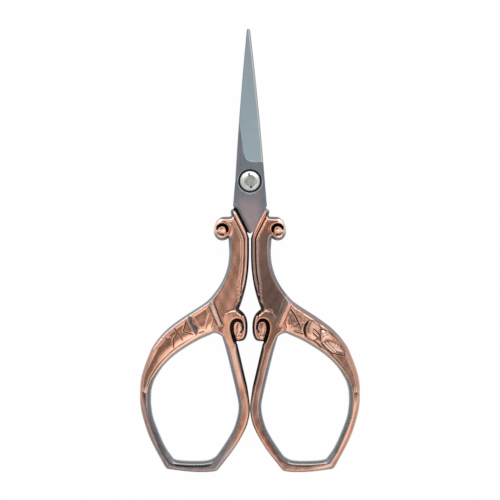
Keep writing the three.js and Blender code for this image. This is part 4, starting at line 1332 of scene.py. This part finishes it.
def makeWasherTree():
    tree, into, out = newTree("washerRing", washer)
    total = math2(tree, "ADD", into["Inner Radius"], into["Outer Radius"])
    wide = math2(tree, "SUBTRACT", into["Outer Radius"], into["Inner Radius"])
    middle = math2(tree, "MULTIPLY", total, 0.5)
    circle = place(tree, "GeometryNodeCurvePrimitiveCircle", Resolution=into["Sides"], Radius=middle)
    section = place(tree, "GeometryNodeCurvePrimitiveQuadrilateral", Width=wide, Height=into["Thickness"])
    rounded = place(tree, "GeometryNodeFilletCurve", {"mode": "POLY"},
                    Curve=section.outputs[0], Radius=washerFillet, Count=2)
    ring = place(tree, "GeometryNodeCurveToMesh", Curve=circle.outputs[0], ProfileCurve=rounded.outputs[0])
    finishTree(tree, out, ring.outputs[0], blackSteel)
    return tree


washerMesh = growMesh("pivotWasher", makeWasherTree(), washer, [(0, 0, 0), (0, 0, 1)])
movePoints(washerMesh, lambda p: p + (0, 0, washerSeat + washer["Thickness"] / 2))
settle("pivotWasher", washerMesh, "rear_lever", "pivot_washer")

barbs = {
    "Count": 5, "Length": 4.2, "Shortening": 0.07, "Thickness": 0.27,
    "Start Angle": -0.75, "Fan": -0.03, "Bend": -0.3,
}
barbRail = np.array([(18.75, -41.77, 0.08), (20.5, -41.65, 0.08), (22.2, -42.2, 0.08)])
barbGround = [
    (18.4, -41.4), (20.5, -41.3), (22.5, -41.9), (24.2, -44.3), (24.1, -45.0), (21.6, -44.5), (19.5, -43.1),
]
barbWear = 0.95


def bowedTerms(points):
    x, y = points[:, 0] - 21.3, points[:, 1] + 43.0
    return np.column_stack([np.ones(len(x)), x, y, x * x, x * y, y * y])


underBarbs = depthIn(plan, barbGround) > 0
leafBow = np.linalg.lstsq(bowedTerms(plan[underBarbs]), leafZ[underBarbs], rcond=None)[0]


def layOnLeaf(points):  # the barbs follow the bowed face under them
    return points + np.column_stack([np.zeros((len(points), 2)), bowedTerms(points) @ leafBow])


def makeBarbTree():  # ridges of the leaf, set side by side along a rail and fanned out
    tree, into, out = newTree("leafBarbs", barbs)
    rail = place(tree, "GeometryNodeMeshToCurve", Mesh=into["Geometry"])
    spots = place(tree, "GeometryNodeResampleCurve", Curve=rail.outputs[0], Count=into["Count"])
    reach = place(tree, "ShaderNodeCombineXYZ", X=into["Length"])
    stem = place(tree, "GeometryNodeCurvePrimitiveLine", End=reach.outputs[0])
    stem = place(tree, "GeometryNodeResampleCurve", Curve=stem.outputs[0], Count=14)
    along = place(tree, "GeometryNodeSplineParameter").outputs["Factor"]
    arch = math2(tree, "MULTIPLY", along, math2(tree, "SUBTRACT", 1.0, along))
    sway = place(tree, "ShaderNodeCombineXYZ", Y=math2(tree, "MULTIPLY", arch, into["Bend"]))
    stem = place(tree, "GeometryNodeSetPosition", Geometry=stem.outputs[0], Offset=sway.outputs[0])
    section = place(tree, "GeometryNodeCurvePrimitiveCircle", Resolution=10, Radius=into["Thickness"])
    blunt = math2(tree, "POWER", math2(tree, "MULTIPLY", arch, 4.0), 0.45)  # thick for most of its length
    slim = place(tree, "ShaderNodeMapRange", Value=blunt, ToMin=0.12, ToMax=1.0)
    barb = place(tree, "GeometryNodeCurveToMesh", Curve=stem.outputs[0], ProfileCurve=section.outputs[0],
                 Scale=slim.outputs[0], FillCaps=True)
    index = place(tree, "GeometryNodeInputIndex").outputs[0]
    angle = math2(tree, "ADD", into["Start Angle"], math2(tree, "MULTIPLY", index, into["Fan"]))
    turn = place(tree, "FunctionNodeAxisAngleToRotation", Axis=(0, 0, 1), Angle=angle)
    share = math2(tree, "SUBTRACT", 1.0, math2(tree, "MULTIPLY", index, into["Shortening"]))
    size = place(tree, "ShaderNodeCombineXYZ", X=share, Y=1.0, Z=1.0)
    many = place(tree, "GeometryNodeInstanceOnPoints", Points=spots.outputs[0], Instance=barb.outputs[0],
                 Rotation=turn.outputs[0], Scale=size.outputs[0])
    finishTree(tree, out, many.outputs[0], antiqueCopper)
    return tree


barbTree = makeBarbTree()
barbSets = (("rightLeafBarbs", np.asarray, "front_lever"), ("leftLeafBarbs", turnedOver, "rear_lever"))
for name, where, body in barbSets:
    barbMesh = growMesh(name, barbTree, barbs, barbRail)
    movePoints(barbMesh, lambda points: where(layOnLeaf(points)))
    worn = [barbWear] * len(barbMesh.vertices)
    barbMesh.attributes.new("wear", "FLOAT", "POINT").data.foreach_set("value", worn)
    settle(name, barbMesh, body, None)

# Pivot screw

screw = {
    "head": 2.6, "seat": 1.18, "rim": 1.5, "top": 2.06, "shank": 1.5,
    "tailSeat": -1.59, "tailEnd": -1.94, "tail": 2.1,
    "slotReach": 1.95, "slotHalf": 0.2, "slotDepth": 0.26, "slotTilt": 0.15, "dish": 1.5, "dishDepth": 0.12,
    "dishShift": (0.18, -0.14), "grid": 0.12, "gridHalf": 2.7, "ringStep": 0.11, "sideDirt": 0.15,
}


def screwTop(points):  # height of the head's top, and its painted shade: dark in the slot's ends, round the dish's edge and a little over the dish, less in its middle as a painted highlight
    s = screw
    r = np.hypot(*points.T)
    z = s["top"] - (s["top"] - s["rim"]) * overZero(r - s["dish"] + 0.1, 0.25) / (s["head"] - s["dish"])
    z -= 0.1 * past(r, s["head"] - 0.2, 0.2)
    turned = math.pi / 2 + s["slotTilt"]
    along = np.abs(points @ np.array((math.cos(turned), math.sin(turned))))
    across = np.abs(points @ np.array((-math.sin(turned), math.cos(turned))))
    fromDish = points - s["dishShift"]
    reach, angle = np.hypot(*fromDish.T), np.arctan2(fromDish[:, 1], fromDish[:, 0])
    dishEdge = s["dish"] * (0.96 + 0.09 * np.cos(4 * angle + 0.2))  # four soft corners
    dish = ramp((dishEdge - reach) / 0.35 + 0.5)
    slot = ramp((s["slotHalf"] - across) / 0.1 + 0.5) * ramp((s["slotReach"] - along) / 0.12 + 0.5)
    ends = slot * past(along, s["dish"] * 0.8, 0.3)
    z -= s["dishDepth"] * dish + s["slotDepth"] * np.maximum(0.35 * slot, ends)
    dirt = 0.7 * ends + 0.08 * slot + 0.32 * dish
    dirt += 0.3 * near(reach, dishEdge, 0.16) - 0.12 * hump(reach / 0.5)
    return z, np.clip(dirt, 0, 1)


def makeScrew():
    s = screw
    head, seat, shank, tail, tailSeat = (s[name] for name in ("head", "seat", "shank", "tail", "tailSeat"))
    half = s["gridHalf"]
    groups = [(ringOf(r), 0.05) for r in np.arange(0.2, head + 0.02, s["ringStep"])]
    groups.append((hexGrid((-half, -half), (half, half), s["grid"]), 0.06))
    top, tris, rims = fillPlan([ringOf(head)], groups)
    shell = Shell()
    z, dirt = screwTop(top)
    face = shell.fill(atHeight(top, z), tris, dirt=dirt)
    profile = (
        (head, s["rim"] - 0.1), (head, seat + 0.06), (head - 0.06, seat), (shank, seat), (shank, tailSeat),
        (tail - 0.05, tailSeat), (tail, tailSeat - 0.06), (tail - 0.05, tailSeat - 0.16),
        (tail - 0.35, s["tailEnd"] + 0.05), (tail - 0.8, s["tailEnd"]),
    )
    rings = [shell.add(atHeight(ringOf(radius), height), dirt=s["sideDirt"]) for radius, height in profile]
    shell.strip(face[rims[0]], *rings)
    shell.faces.append(tuple(rings[-1]))
    mesh = shell.mesh("pivotScrew", np.asarray, screwSteel, 40)
    settle("pivotScrew", mesh, "rear_lever", "pivot_screw")


makeScrew()

# Floor, light and camera

stageSet = {
    "floorHalf": 3.0, "floorLow": -0.0002, "floor": (0.82, 0.82, 0.82, 1), "floorRough": 0.9, "white": 0.98,
    "roomLevels": ((0.0, 0.74), (0.3, 0.7), (0.6, 0.52), (0.85, 0.32), (1.0, 0.2)),  # from horizon to zenith
    "topBias": 0.05, "frame": 0.1295, "lens": 200.0, "sensor": 36.0, "clip": (0.05, 50),
    "aim": (0.0, 0.00009, 0.0044),
}


def makeFloor(s):  # pale, and close to white for the camera and in reflections
    half = s["floorHalf"]
    corners = [(x * half, y * half, s["floorLow"]) for x, y in ((-1, -1), (1, -1), (1, 1), (-1, 1))]
    mesh = bpy.data.meshes.new("floor")
    mesh.from_pydata(corners, [], [(0, 1, 2, 3)])
    material = bpy.data.materials.new("paleFloor")
    material.use_nodes = True
    tree = material.node_tree
    shader = tree.nodes["Principled BSDF"]
    shader.inputs["Base Color"].default_value = s["floor"]
    shader.inputs["Roughness"].default_value = s["floorRough"]
    shader.inputs["Specular IOR Level"].default_value = 0.0
    glow = place(tree, "ShaderNodeEmission", Color=(1, 1, 1, 1), Strength=1.0)
    path = place(tree, "ShaderNodeLightPath").outputs
    seen = math2(tree, "MAXIMUM", path["Is Glossy Ray"], path["Is Transmission Ray"])
    seen = math2(tree, "MAXIMUM", path["Is Camera Ray"], seen)
    share = math2(tree, "MULTIPLY", seen, s["white"])
    mix = place(tree, "ShaderNodeMixShader", i0=share, i1=shader.outputs[0], i2=glow.outputs[0])
    tree.links.new(mix.outputs[0], tree.nodes["Material Output"].inputs["Surface"])
    mesh.materials.append(material)
    floor = bpy.data.objects.new("floor", mesh)
    scene.collection.objects.link(floor)


def makeWorld(s):  # a soft room, dimmest straight above and brighter beyond the tips
    world = bpy.data.worlds.new("softRoom")
    scene.world = world
    world.use_nodes = True
    tree = world.node_tree
    back = tree.nodes["Background"]
    way = place(tree, "ShaderNodeTexCoord").outputs["Generated"]
    parts = place(tree, "ShaderNodeSeparateXYZ", Vector=way)
    rise = place(tree, "ShaderNodeValToRGB", Fac=parts.outputs["Z"])
    stops = rise.color_ramp.elements
    for spot, _ in s["roomLevels"][1:-1]:
        stops.new(spot)
    for stop, (spot, level) in zip(stops, s["roomLevels"]):
        stop.position, stop.color = spot, (level, level, level, 1)
    tilt = math2(tree, "ADD", 1.0, math2(tree, "MULTIPLY", parts.outputs["Y"], s["topBias"]))
    tree.links.new(blendColour(tree, 1.0, rise.outputs["Color"], tilt, "MULTIPLY"), back.inputs["Color"])
    back.inputs["Strength"].default_value = 1.0


lampReach = 0.8
lamps = {  # direction, width, height and power of each soft lamp
    "rightBox": ((0.42, -0.25, 0.87), 0.62, 0.62, 1.1), "bottomBox": ((-0.12, -0.5, 0.86), 0.75, 0.4, 0.75),
    "topStrip": ((0.0, 0.77, 0.64), 2.4, 0.35, 5.9), "leftBox": ((-0.62, 0.0, 0.78), 0.4, 0.4, 0.3),
}


def makeLamp(name, way, width, height, power):
    lamp = bpy.data.lights.new(name, "AREA")
    lamp.shape, lamp.size, lamp.size_y, lamp.energy = "RECTANGLE", width, height, power
    holder = bpy.data.objects.new(name, lamp)
    holder.location = Vector(way).normalized() * lampReach
    holder.rotation_euler = (-Vector(way)).to_track_quat("-Z", "Y").to_euler()
    scene.collection.objects.link(holder)


def makeCamera(s):
    data = bpy.data.cameras.new("photoCamera")
    data.lens, data.sensor_width = s["lens"], s["sensor"]
    data.clip_start, data.clip_end = s["clip"]
    camera = bpy.data.objects.new("photoCamera", data)
    x, y, z = s["aim"]
    camera.location = (x, y, z + s["frame"] * s["lens"] / s["sensor"])
    scene.collection.objects.link(camera)
    scene.camera = camera


makeFloor(stageSet)
makeWorld(stageSet)
for name, settings in lamps.items():
    makeLamp(name, *settings)
makeCamera(stageSet)
scene.view_settings.view_transform = "Standard"
print("floor, light and camera set")
